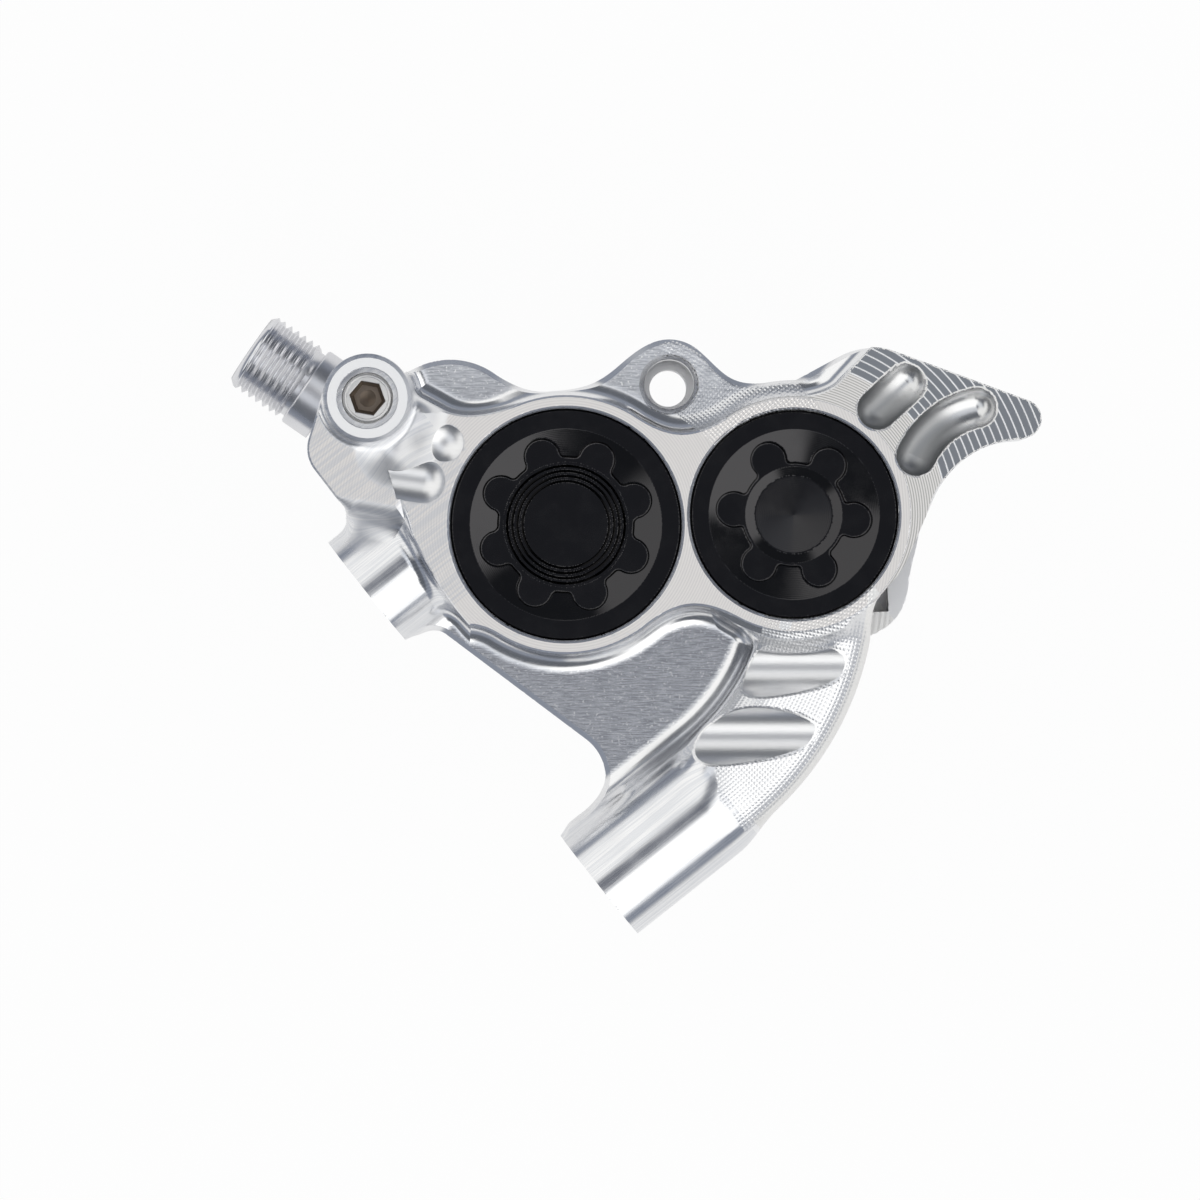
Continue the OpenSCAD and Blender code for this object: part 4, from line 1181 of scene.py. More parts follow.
@dataclass
class NodeKit:
    """Short ways to add and join nodes in a tree."""

    tree: bpy.types.NodeTree

    def node(self, kind: str, **settings: object) -> bpy.types.Node:
        """Adds a node and sets its properties.

        Args:
            kind: Kind of the node.
            **settings: Its properties by name.

        Returns:
            The node.
        """
        out = self.tree.nodes.new(kind)
        for key, value in settings.items():
            setattr(out, key, value)
        return out

    def join(self, source: object, target: Socket) -> None:
        """Links a socket to another, or writes a plain value into it.

        Args:
            source: The socket or the value.
            target: The socket that gets it.
        """
        if isinstance(source, Socket):
            self.tree.links.new(source, target)
        else:
            target.default_value = source

    def put(self, kind: str, output: int, inputs: dict[str | int, object], **settings: object) -> Socket:
        """Adds a node, fills its inputs and gives one of its outputs.

        Args:
            kind: Kind of the node.
            output: Number of the output.
            inputs: Values or sockets for its inputs, by label or number.
            **settings: Its properties by name.

        Returns:
            The output.
        """
        out = self.node(kind, **settings)
        for key, value in inputs.items():
            self.join(value, out.inputs[key])
        return out.outputs[output]

    def split(self, vector: object) -> Sequence[Socket]:
        """Separates a vector into X, Y and Z.

        Args:
            vector: The vector.

        Returns:
            The three sockets.
        """
        out = self.node("ShaderNodeSeparateXYZ")
        self.join(vector, out.inputs[0])
        return out.outputs

    def math(self, way: str, a: object, b: object = None, c: object = None, clamp: bool = False) -> Socket:
        """Adds a Math node, which may have two values more and a clamp between 0 and 1."""
        inputs = {i: value for i, value in enumerate((a, b, c)) if value is not None}
        return self.put("ShaderNodeMath", 0, inputs, operation=way, use_clamp=clamp)

    def product(self, first: object, *others: object) -> Socket:
        """Multiplies values or masks.

        Args:
            first: The first value.
            *others: The other values.

        Returns:
            The result.
        """
        for other in others:
            first = self.math("MULTIPLY", first, other)
        return first

    def blend(self, mask: object, a: object, b: object) -> Socket:
        """Mixes two values, the first where the mask is 0 and the second where it is 1."""
        return self.put("ShaderNodeMix", 0, {"Factor": mask, 2: a, 3: b}, data_type="FLOAT")

    def vector(self, way: str, a: object, b: object = None, scale: object = None) -> Socket:
        """Adds a Vector Math node.

        Args:
            way: Its operation.
            a: Its first vector.
            b: The second, where it has one.
            scale: The factor of SCALE.

        Returns:
            Its result.
        """
        out = self.node("ShaderNodeVectorMath", operation=way)
        self.join(a, out.inputs[0])
        if b is not None:
            self.join(b, out.inputs[1])
        if scale is not None:
            self.join(scale, out.inputs["Scale"])
        return out.outputs["Value" if way in ("DOT_PRODUCT", "LENGTH") else "Vector"]

    def away(self, coord: object, middle: Point3, flat: bool = False) -> Socket:
        """Distances in metres from a point in millimetres, or from an axis along the bores where flat."""
        rel = self.vector("SUBTRACT", coord, tuple(v * MM for v in middle))
        return self.vector("LENGTH", self.vector("MULTIPLY", rel, (1, 0, 1)) if flat else rel)

    def mix(self, factor: object, a: object, b: object) -> Socket:
        """Mixes two colours, the first where the factor is 0 and the second where it is 1."""
        return self.put("ShaderNodeMix", 2, {"Factor": factor, 6: a, 7: b}, data_type="RGBA")

    def range(self, value: object, a: float, b: float, c: float, d: float) -> Socket:
        """Maps a value smoothly from the range a to b to the range c to d, and no further."""
        inputs = dict(enumerate((value, a, b, c, d)))
        return self.put("ShaderNodeMapRange", 0, inputs, interpolation_type="SMOOTHSTEP")

    def noise(self, coord: object, scale: float, detail: float = 2.0, rough: float = 0.5) -> Socket:
        """Adds a Noise node."""
        inputs = {"Vector": coord, "Scale": scale, "Detail": detail, "Roughness": rough}
        return self.put("ShaderNodeTexNoise", 0, inputs)

    def bump(self, height: object, strength: float, distance: float) -> Socket:
        """Adds a Bump node for a height from 0 to 1, with its depth in millimetres."""
        inputs = {"Height": height, "Strength": strength, "Distance": distance * MM}
        return self.put("ShaderNodeBump", 0, inputs)


def new_finish(name: str) -> tuple[bpy.types.Material, NodeKit, bpy.types.Node]:
    """Starts a material.

    Args:
        name: Name of the material.
    """
    mat = bpy.data.materials.new(name)
    mat.use_nodes = True
    return mat, NodeKit(mat.node_tree), mat.node_tree.nodes["Principled BSDF"]


def apply_tree(obj: bpy.types.Object, tree: bpy.types.NodeTree, values: dict[str, object]) -> None:
    """Runs a Geometry Nodes tree on a piece and bakes the result.

    Args:
        obj: The piece.
        tree: The tree.
        values: The tree's inputs by name.
    """
    mod = obj.modifiers.new(tree.name, "NODES")
    mod.node_group = tree
    for item in tree.interface.items_tree:
        if item.item_type == "SOCKET" and item.in_out == "INPUT" and item.name in values:
            value = values[item.name]
            mod[item.identifier] = value.tolist() if isinstance(value, np.ndarray) else value
    obj.update_tag()
    bpy.context.view_layer.update()
    bake(obj)


# Caps, screw and pads


@dataclass
class BoreCap:
    """A screwed cap that closes a cylinder, with a lobed recess for its key.

    Attributes:
        name: Name of the piece.
        bore: The cylinder that it closes.
        lobes: Number of lobes.
        lobe_at: Radius of the ring of lobes.
        lobe_r: Radius of one lobe.
        turn: Turn of the first lobe from the bolt line, in degrees.
        dish_r: Radius of the dished ring at the face.
        well_r: Radius of the round well.
        hub_r: Radius of the hub's top, or 0 for a plain dished well.
        face_y: Level of the cap's face.
        seat_y: Level of its seat.
        neck_y: End of its neck.
        end_y: End of the cap.
        dish_depth: Depth of the dish.
        key_depth: Depth of the key's recess.
        hub_depth: How far the hub's top lies under the face.
        hub_step: Width of the turned steps round the hub.
        hole_r: Radius of the hole in a plain well.
        hole_depth: Its depth under the floor of the recess.
        lead_r: Radius of the wide cone that leads into that hole.
        cone_r: Radius of the shallow cone at its floor.
        shoulder: How far the neck steps in from the head.
        ring_t: How far the end steps in from the neck.
    """

    name: str
    bore: Bore
    lobes: int
    lobe_at: float
    lobe_r: float
    turn: float
    dish_r: float
    well_r: float
    hub_r: float
    face_y: float = -7.15
    seat_y: float = -5.45
    neck_y: float = -3.45
    end_y: float = -2.45
    dish_depth: float = 1.15
    key_depth: float = 2.2
    hub_depth: float = 0.35
    hub_step: float = 0.46
    hole_r: float = 3.55
    hole_depth: float = 0.45
    lead_r: float = 4.35
    cone_r: float = 3.4
    shoulder: float = 0.35
    ring_t: float = 0.9

    def value(self, x: Array, y: Array, z: Array) -> Array:
        """Distance to the cap's surface.

        Args:
            x: Places along the bolt line.
            y: Places along the bore.
            z: Heights.

        Returns:
            The distances.
        """
        dx, dz = x - self.bore.at[0], z - self.bore.at[1]
        r = np.hypot(dx, dz)
        depth = y - self.face_y
        head = bevel_and(r - self.bore.cap_r, -depth, 0.22)
        head = np.maximum(head, y - self.seat_y)
        neck = np.maximum(r - self.bore.cap_r + self.shoulder, y - self.neck_y)
        tail = np.maximum(r - self.bore.cap_r + self.shoulder + self.ring_t, y - self.end_y)
        out = np.minimum(head, np.maximum(np.minimum(neck, tail), -depth))
        fall = self.dish_depth / (self.dish_r - self.well_r)
        dish = (depth - np.minimum((self.dish_r - r) * fall, self.dish_depth)) / math.hypot(1, fall)
        dish = np.maximum(dish, r - self.dish_r - 0.6)
        step = FULL_TURN / self.lobes
        a = np.arctan2(dz, dx) - math.radians(self.turn)
        a = a - step * np.round(a / step)
        lobe = np.hypot(r * np.cos(a) - self.lobe_at, r * np.sin(a)) - self.lobe_r
        well = soft_or(lobe, r - self.well_r, 0.45)
        floor = depth - self.key_depth
        if self.hub_r:
            rise = np.maximum(r - self.hub_r, 0) / self.hub_step
            turned = (np.floor(rise) + np.clip((rise % 1 - 0.5) * 2, 0, 1)) * self.hub_step
            hub = np.maximum(out, (self.hub_depth + turned - depth) * 0.6)
            return np.minimum(soft_and(np.maximum(out, -dish), -soft_and(well, floor, 0.15), 0.1), hub)
        under = floor - self.hole_depth
        lead = (r + 2 * floor - self.lead_r) / math.sqrt(5)
        lead = np.maximum(lead, r - self.lead_r)
        inner = np.maximum(np.minimum(r - self.hole_r, lead), under)
        cone = np.maximum(under - (self.cone_r - r) * 0.1, r - self.cone_r)
        well = np.minimum(soft_and(well, floor, 0.15), np.minimum(inner, cone))
        return soft_and(np.maximum(out, -dish), -well, 0.1)

    def build(self, finish: bpy.types.Material) -> bpy.types.Object:
        """Meshes the cap and dresses it.

        Args:
            finish: Its material.

        Returns:
            The finished object.
        """
        x, z = self.bore.at
        r = self.bore.cap_r + 0.4
        step = 0.1
        mesher = FieldMesher(self.value, (x - r, -7.5, z - r), (x + r, -2.2, z + r), step, 150_000)
        obj = mesher.build(self.name)
        obj.data.materials.append(finish)
        return obj


@dataclass
class BleedScrew:
    """The hex-socket screw that closes the bleed port.

    Attributes:
        at: Place of its axis in the X-Z plane.
        face_y: Level of the boss's face.
        sunk: How far the screw's face lies under it.
        r: Radius of the screw.
        head_t: Length of its slimmer head.
        end_y: End of the screw.
        dip_r: Radius of the shallow dip in its face.
        dip_t: Depth of that dip.
        key: Half the key's width across flats.
        key_turn: Turn of the key's hexagon, in radians.
        key_depth: Depth of the hexagon.
        drill_r: Radius of the drilled point under it.
        groove_y: Place of the groove for the O-ring.
    """

    at: Point2 = BLEED_AT
    face_y: float = CaliperBody.bleed_y
    sunk: float = 0.05
    r: float = 2.27
    head_t: float = 1.5
    end_y: float = -4.05
    dip_r: float = 1.86
    dip_t: float = 0.14
    key: float = 1.45
    key_turn: float = 0.2
    key_depth: float = 2.1
    drill_r: float = 0.75
    groove_y: float = -5.6

    def value(self, x: Array, y: Array, z: Array) -> Array:
        """Distance to the screw's surface.

        Args:
            x: X of the points.
            y: Y of the points.
            z: Z of the points.

        Returns:
            The distances.
        """
        dx, dz = x - self.at[0], z - self.at[1]
        r = np.hypot(dx, dz)
        depth = y - self.face_y - self.sunk
        side = np.maximum(r - self.r, np.minimum(r - self.r + 0.15, self.head_t - depth))
        out = bevel_and(bevel_and(side, -depth, 0.1), y - self.end_y + 0.2, 0.35)
        out = np.maximum(out, -np.maximum(self.r - 0.62 - r, np.abs(y - self.groove_y - 0.4) - 0.4))
        out = bevel_and(out, -np.maximum(r - self.dip_r, depth - self.dip_t), 0.06)
        lean = 0.16 * np.minimum(depth, self.key_depth)
        turns = [self.key_turn + i * math.pi / 3 for i in range(3)]
        flats = [np.abs(dx * math.cos(t) + dz * math.sin(t)) for t in turns]
        hole = np.maximum.reduce(flats) - self.key + lean
        hole = np.maximum(hole, depth - self.key_depth)
        drill = np.maximum(r - self.drill_r, depth - self.key_depth - 0.5 + r * 0.4)
        return bevel_and(out, -np.minimum(hole, drill), 0.05)

    def build(self, finish: bpy.types.Material) -> bpy.types.Object:
        """Meshes the screw and dresses it.

        Args:
            finish: Its material.

        Returns:
            The finished object.
        """
        x, z = self.at
        step = 0.055
        mesher = FieldMesher(self.value, (x - 2.7, -8.8, z - 2.7), (x + 2.7, -3.8, z + 2.7), step, 90_000)
        obj = mesher.build("bleed_screw_turned")
        obj.data.materials.append(finish)
        return obj


@dataclass
class HoseFitting:
    """The stub that the brake hose screws onto."""

    end: Point3 = HOSE_END
    axis: Point3 = HOSE_AXIS
    thread_r: float = 3.75
    thread_len: float = 5.2
    pitch: float = 0.75
    relief_r: float = 3.3
    relief_w: float = 0.7
    neck_r: float = 3.85
    length: float = 8.6
    spigot_r: float = 2.7
    tip_r: float = 1.8
    spigot_len: float = 4.0
    bore_r: float = 1.2

    def build(self, finish: bpy.types.Material) -> bpy.types.Object:
        """Turns the stub and cuts its thread.

        Args:
            finish: Its material.

        Returns:
            The finished object.
        """
        groove = self.length + 0.6
        profile = [(self.bore_r + 1.2, 0.0), (self.thread_r - 0.5, 0.0)]
        profile += rows((self.thread_r, 0.5), (self.thread_r, self.thread_len), self.pitch / 20)
        profile += [
            (self.thread_r, self.thread_len),
            (self.relief_r, self.thread_len + 0.25),
            (self.relief_r, self.thread_len + self.relief_w),
            (self.neck_r - 0.15, self.thread_len + self.relief_w),
            (self.neck_r, self.thread_len + self.relief_w + 0.15),
            (self.neck_r, self.thread_len + self.relief_w + 0.25),
            (self.neck_r, self.length),
            (self.spigot_r, self.length),
            (self.spigot_r, groove),
            (self.spigot_r - 0.8, groove),
            (self.spigot_r - 0.8, groove + 1),
            (self.spigot_r, groove + 1),
            (self.spigot_r, groove + 1.4),
            (self.tip_r, groove + 1.4),
            (self.tip_r, self.length + self.spigot_len),
            (self.bore_r, self.length + self.spigot_len),
            (self.bore_r, 1.6),
        ]
        obj = turned("hose_stub", profile, self.end, self.axis, 160)
        tool = ThreadTool(self.end, self.axis, self.thread_r, self.pitch, 0.42, 0.35, self.thread_len + 0.35)
        tool.cut(obj, finish)
        tidy_normals(obj, 55)
        return obj


@dataclass
class BossThread:
    """The screw thread inside one mount boss, as a thin threaded lining of its hole."""

    name: str
    x: float
    hole_r: float = CaliperBody.bolt_r
    depth: float = CaliperBody.bolt_depth
    pitch: float = 0.8

    def build(self, finish: bpy.types.Material) -> bpy.types.Object:
        """Makes the lining and cuts its thread.

        Args:
            finish: Its material.

        Returns:
            The finished object.
        """
        inner = self.hole_r - 0.01
        profile = rows((inner, 0.42), (inner, self.depth - 0.25), self.pitch / 16)
        profile += [(inner, self.depth - 0.25), (inner + 0.02, self.depth - 0.25), (inner + 0.02, 0.42)]
        foot, up = (self.x, 0, 0), (0, 0, 1)
        obj = turned(self.name, profile, foot, up)
        ThreadTool(foot, up, inner, self.pitch, 0.28, 0.3, self.depth + 0.4).cut(obj, finish)
        return obj


@dataclass
class Piston:
    """A cup-shaped piston."""

    name: str
    bore: Bore
    face: Face
    mouth: float = 7.0
    proud: float = 0.3
    length: float = 8.0
    wall: float = 2.4
    hollow: float = 5.0

    def build(self, finish: bpy.types.Material) -> bpy.types.Object:
        """Turns the piston.

        Args:
            finish: Its material.

        Returns:
            The finished object.
        """
        r, front = self.bore.piston_r, self.mouth - self.proud
        back, hollow = front + self.length, front + self.hollow
        profile = [
            (r - self.wall + 0.12, front),
            (r - 0.35, front),
            (r - 0.1, front + 0.1),
            (r, front + 0.35),
            (r, back - 0.8),
            (r - 0.25, back - 0.3),
            (r - 0.8, back),
            (0.0, back),
            (0.0, hollow),
            (r - self.wall - 0.8, hollow),
            (r - self.wall - 0.2, hollow - 0.25),
            (r - self.wall, hollow - 0.8),
            (r - self.wall, front + 0.12),
        ]
        x, z = self.bore.at
        obj = turned(self.name, profile, (x, SLOT_MID, z), (0, self.face.value, 0), 128)
        obj.data.materials.append(finish)
        return obj


@dataclass
class BrakePad:
    """A steel backplate and its friction lining."""

    face: Face
    length: float = 37.2
    low: float = 8.8
    high: float = 8.4
    near: float = 6.7
    plate_t: float = 1.8
    lining_t: float = 2.4
    margin: float = 0.8
    ear_r: float = 3.6
    ear_neck: float = 6.8
    hole_r: float = 2.6

    def outline(self, x: Array, z: Array, inset: float, corner: float) -> Array:
        """Outline of the pad without its ear.

        Args:
            x: X of the points.
            z: Z of the points.
            inset: How far it lies inside the pad's edge.
            corner: Radius of its corners.

        Returns:
            The distances.
        """
        t, r = pad_frame(x, z)
        mid = (self.high - self.low) / 2
        return round_box(t, r - mid, self.length / 2 - inset, (self.high + self.low) / 2 - inset, corner)

    def plate(self, x: Array, y: Array, z: Array) -> Array:
        """Distance to the backplate's surface.

        Args:
            x: X of the points.
            y: Y of the points.
            z: Z of the points.

        Returns:
            The distances.
        """
        t, r = pad_frame(x, z)
        t0, r0 = pad_frame(*PIN_AT)
        neck = np.maximum(np.maximum(np.abs(t - t0) - self.ear_neck / 2, r - r0), -r)
        shape = soft_or(self.outline(x, z, 0, 3.0), neck, 0.6)
        shape = np.minimum(shape, disc(x, z, PIN_AT, self.ear_r))
        depth = self.face.value * (y - SLOT_MID)
        slab = np.abs(depth - self.near + self.plate_t / 2) - self.plate_t / 2
        out = soft_and(shape, slab, 0.18)
        return bevel_and(out, -disc(x, z, PIN_AT, self.hole_r), 0.15)

    def lining(self, x: Array, y: Array, z: Array) -> Array:
        """Distance to the lining's surface.

        Args:
            x: X of the points.
            y: Y of the points.
            z: Z of the points.

        Returns:
            The distances.
        """
        t, _ = pad_frame(x, z)
        depth = self.face.value * (y - SLOT_MID)
        front = self.near - self.plate_t - self.lining_t
        slab = np.abs(depth - front - self.lining_t / 2) - self.lining_t / 2
        ends = (np.abs(t) - self.length / 2 + self.margin + 1.2) * 0.6 + (front - depth) * 0.8
        out = soft_and(self.outline(x, z, self.margin, 2.4), slab, 0.15)
        out = np.maximum(out, ends)
        groove = np.maximum(np.abs(t) - 0.6, depth - front - 1.6)
        return bevel_and(out, -groove, 0.1)

    def build(self, plate: bpy.types.Material, lining: bpy.types.Material) -> list[bpy.types.Object]:
        """Meshes both pieces and dresses them.

        Args:
            plate: Material of the backplate.
            lining: Material of the lining.

        Returns:
            The backplate and the lining.
        """
        thick = self.plate_t + self.lining_t
        y0, y1 = sorted(SLOT_MID + self.face.value * d for d in (self.near, self.near - thick))
        low, high = (-24.5, y0 - 0.3, 4.0), (15.5, y1 + 0.3, 46.5)
        side = self.face.name.lower()
        step = 0.22
        out = []
        for part, value, finish in (("backplate", self.plate, plate), ("lining", self.lining, lining)):
            obj = FieldMesher(value, low, high, step, 60_000).build(f"{side}_pad_{part}_formed")
            obj.data.materials.append(finish)
            out.append(obj)
        return out


@dataclass
class Studio:
    """Camera, floor and light.

    Attributes:
        centre: Point at the middle of the picture, in millimetres.
        distance: Distance of the camera.
        width: Width of the picture at the middle point.
        floor_y: Level of the floor.
        floor_r: Radius of the floor.
        box_half: Half the angle that a soft box takes round the lens, in degrees.
    """

    centre: Point3 = (-3.2, 0.0, 16.0)
    distance: float = 1000.0
    width: float = 108.3
    floor_y: float = 30.9
    floor_r: float = 125.0
    box_half: float = 43.0

    def camera(self) -> bpy.types.Object:
        """Makes the camera at the photograph's angle.

        Returns:
            The camera.
        """
        data = bpy.data.cameras.new("camera")
        data.sensor_width = 36.0
        data.lens = 36.0 * self.distance / self.width
        data.clip_start, data.clip_end = 0.01, 20.0
        cam = bpy.data.objects.new("camera", data)
        right = (ACROSS[0], 0.0, ACROSS[1])
        up = (-ACROSS[1], 0.0, ACROSS[0])
        turn = Matrix((right, up, (0.0, -1.0, 0.0))).transposed().to_4x4()
        turn.translation = (self.centre[0] * MM, (self.centre[1] - self.distance) * MM, self.centre[2] * MM)
        cam.matrix_world = turn
        bpy.context.scene.collection.objects.link(cam)
        bpy.context.scene.camera = cam
        return cam

    def floor(self) -> bpy.types.Object:
        """Makes the pale floor that the caliper lies on, back down.

        Returns:
            The floor.
        """
        turn = np.linspace(0, FULL_TURN, 64, endpoint=False)
        x, z = self.centre[0] + self.floor_r * np.cos(turn), self.centre[2] + self.floor_r * np.sin(turn)
        pts = np.stack([x, np.full(64, self.floor_y), z], 1) * MM
        obj = show(make_mesh("floor", pts, np.arange(64)[None, :]))
        obj.data.materials.append(self.floor_finish())
        return obj

    def floor_finish(self) -> bpy.types.Material:
        """Makes the floor's material: near white to the camera, with a shadow, and clear from behind.

        Returns:
            The material.
        """
        mat = bpy.data.materials.new("floor_white")
        mat.use_nodes = True
        nt = mat.node_tree
        nt.nodes.clear()
        kit = NodeKit(nt)
        path = kit.node("ShaderNodeLightPath").outputs
        plain = kit.node("ShaderNodeBsdfDiffuse")
        plain.inputs["Color"].default_value = (0.9, 0.9, 0.9, 1)
        mirrored = kit.math("MAXIMUM", path["Is Glossy Ray"], path["Is Transmission Ray"])
        lit = kit.math("MULTIPLY_ADD", path["Is Camera Ray"], 0.95, kit.math("MULTIPLY", mirrored, 0.6))
        glow = kit.node("ShaderNodeMixShader")
        one_side = kit.node("ShaderNodeMixShader")
        back = kit.node("ShaderNodeNewGeometry").outputs["Backfacing"]
        white = kit.node("ShaderNodeEmission").outputs[0]
        clear = kit.node("ShaderNodeBsdfTransparent").outputs[0]
        for value, target in zip((lit, plain.outputs[0], white), glow.inputs):
            kit.join(value, target)
        for value, target in zip((back, glow.outputs[0], clear), one_side.inputs):
            kit.join(value, target)
        kit.join(one_side.outputs[0], kit.node("ShaderNodeOutputMaterial").inputs[0])
        return mat

    def world(self) -> None:
        """Makes the soft light: two large soft boxes, a dim place round the lens and a dim band."""
        world = bpy.data.worlds.new("tent")
        bpy.context.scene.world = world
        world.use_nodes = True
        nt = world.node_tree
        nt.nodes.clear()
        kit = NodeKit(nt)
        coord = kit.node("ShaderNodeTexCoord").outputs["Generated"]
        toward = kit.vector("DOT_PRODUCT", coord, (0.05, -0.9988, 0.0))
        right = kit.vector("DOT_PRODUCT", coord, (ACROSS[0], 0.0, ACROSS[1]))
        up = kit.vector("DOT_PRODUCT", coord, (-ACROSS[1], 0.0, ACROSS[0]))
        polar = kit.math("DEGREES", kit.math("ARCCOSINE", toward))
        round_ = kit.math("DEGREES", kit.math("ARCTAN2", up, right))
        front, dark = (0.82, 0.85, 0.9, 1), (0.12, 0.13, 0.15, 1)
        twist = kit.range(polar, 41.0, 50.0, 0.0, 32.0)
        tone = kit.mix(kit.range(polar, 32.0, 40.0, 0.0, 1.0), front, dark)
        for middle, tint in ((131.0, (1.05, 1.05, 1.04, 1)), (-49.0, (1.4, 1.4, 1.39, 1))):
            turn = kit.math("SUBTRACT", kit.math("SUBTRACT", round_, middle), twist)
            turn = kit.math("PINGPONG", turn, 180.0)
            tone = kit.mix(kit.range(turn, self.box_half, self.box_half + 14.0, 1.0, 0.0), tone, tint)
        tone = kit.mix(kit.range(polar, 8.0, 17.0, 1.0, 0.0), tone, (0.17, 0.18, 0.21, 1))
        tone = kit.mix(kit.range(polar, 72.0, 79.0, 0.0, 1.0), tone, (0.26, 0.285, 0.34, 1))
        tone = kit.mix(kit.range(polar, 96.0, 104.0, 0.0, 1.0), tone, (0.76, 0.76, 0.76, 1))
        light = kit.node("ShaderNodeBackground")
        kit.join(tone, light.inputs["Color"])
        shown = kit.node("ShaderNodeBackground")
        shown.inputs["Color"].default_value = (1, 1, 1, 1)
        mix = kit.node("ShaderNodeMixShader")
        kit.join(kit.node("ShaderNodeLightPath").outputs["Is Camera Ray"], mix.inputs[0])
        kit.join(light.outputs[0], mix.inputs[1])
        kit.join(shown.outputs[0], mix.inputs[2])
        kit.join(mix.outputs[0], kit.node("ShaderNodeOutputWorld").inputs["Surface"])

    def build(self) -> None:
        """Sets up the whole studio."""
        scene = bpy.context.scene
        scene.view_settings.view_transform = "Standard"
        self.camera()
        self.floor()
        self.world()


@dataclass(frozen=True)
class PlainMetal:
    """A metal finish of one tone, with a fine grain.

    Attributes:
        name: Name of the material.
        colour: Its colour.
        rough: Its roughness.
        grain: Height of the grain.
        metallic: 1 for metal.
        pit: Middle of the mouth and radius of a darker recess, if it has one.
    """

    name: str
    colour: Point3
    rough: float
    grain: float = 0.02
    metallic: float = 1.0
    pit: Optional[tuple[Point3, float]] = None

    def build(self) -> bpy.types.Material:
        """Makes the material.

        Returns:
            The material.
        """
        mat, kit, bsdf = new_finish(self.name)
        bsdf.inputs["Metallic"].default_value = self.metallic
        coord = kit.node("ShaderNodeTexCoord").outputs["Object"]
        fine = kit.noise(coord, 2600.0, 3.0, 0.6)
        wide = kit.noise(coord, 160.0, 2.0, 0.5)
        dark = tuple(0.82 * c for c in self.colour)
        tint = kit.mix(wide, (*self.colour, 1), (*dark, 1))
        if self.pit:
            middle, r = self.pit
            inside = kit.math("LESS_THAN", kit.away(coord, middle, flat=True), r * MM)
            inside = kit.product(inside, kit.math("GREATER_THAN", kit.split(coord)[1], middle[1] * MM))
            tint = kit.mix(inside, tint, (0.23, 0.19, 0.155, 1))
        kit.join(tint, bsdf.inputs["Base Color"])
        kit.join(kit.range(wide, 0.3, 0.7, self.rough * 0.8, self.rough * 1.25), bsdf.inputs["Roughness"])
        kit.join(kit.bump(fine, 0.25, self.grain), bsdf.inputs["Normal"])
        return mat


def shared_group(
    name: str, inputs: Sequence[tuple[str, str]], outputs: Sequence[tuple[str, str]]
) -> tuple[NodeKit, bpy.types.Node, bpy.types.Node]:
    """Starts a shader group with named sockets.

    Args:
        name: Name of the group.
        inputs: Name and kind of each input.
        outputs: Name and kind of each output.
    """
    nt = bpy.data.node_groups.new(name, "ShaderNodeTree")
    for way, sockets in (("INPUT", inputs), ("OUTPUT", outputs)):
        for label, kind in sockets:
            nt.interface.new_socket(label, in_out=way, socket_type=f"NodeSocket{kind}")
    kit = NodeKit(nt)
    return kit, kit.node("NodeGroupInput"), kit.node("NodeGroupOutput")


class Effects(Enum):
    """The shader effects that several finishes share."""

    LEVEL = "flat_level"
    TURNED = "turned_rings"
    GRAIN = "milled_grain"

    def tree(self) -> bpy.types.NodeTree:
        """The node group of this effect, built at first use.

        Returns:
            The node group.
        """
        if self.value not in bpy.data.node_groups:
            builders = {Effects.LEVEL: build_level, Effects.TURNED: build_turned, Effects.GRAIN: build_grain}
            builders[self](self.value)
        return bpy.data.node_groups[self.value]

    def use(self, kit: NodeKit, **values: object) -> bpy.types.Node:
        """Adds the group to a material and sets or links its inputs.

        Args:
            kit: The material's tree.
            **values: Inputs by name, with spaces as underscores.

        Returns:
            The group node.
        """
        out = kit.node("ShaderNodeGroup", node_tree=self.tree())
        for label, value in values.items():
            kit.join(value, out.inputs[label.replace("_", " ")])
        return out


def build_level(name: str) -> None:
    """Builds the mask of faces that look out along the bores at one level.

    Args:
        name: Name of the group.
    """
    inputs = (("Coord", "Vector"), ("Normal", "Vector"), ("Level", "Float"), ("Width", "Float"))
    kit, given, result = shared_group(name, inputs, (("Mask", "Float"),))
    y, towards = kit.split(given.outputs["Coord"])[1], kit.split(given.outputs["Normal"])[1]
    off = kit.math("ABSOLUTE", kit.math("SUBTRACT", y, given.outputs["Level"]))
    near = kit.math("LESS_THAN", off, given.outputs["Width"])
    facing = kit.range(kit.math("MULTIPLY", towards, -1.0), 0.96, 0.995, 0.0, 1.0)
    kit.join(kit.math("MULTIPLY", near, facing), result.inputs["Mask"])


def build_turned(name: str) -> None:
    """Builds fine rings round an axis along the bores, as a height.

    Args:
        name: Name of the group.
    """
    inputs = (("Coord", "Vector"), ("Centre", "Vector"), ("Pitch", "Float"))
    kit, given, result = shared_group(name, inputs, (("Height", "Float"),))
    rel = kit.vector("SUBTRACT", given.outputs["Coord"], given.outputs["Centre"])
    r = kit.vector("LENGTH", kit.vector("MULTIPLY", rel, (1, 0, 1)))
    turns = kit.math("DIVIDE", r, given.outputs["Pitch"])
    wave = kit.math("SINE", kit.math("MULTIPLY", turns, FULL_TURN))
    line = kit.node("ShaderNodeCombineXYZ")
    kit.join(turns, line.inputs[0])
    rough = kit.noise(line.outputs[0], 0.9, 3.0, 0.6)
    kit.join(kit.math("MULTIPLY", kit.math("ADD", wave, 1.0), rough), result.inputs["Height"])


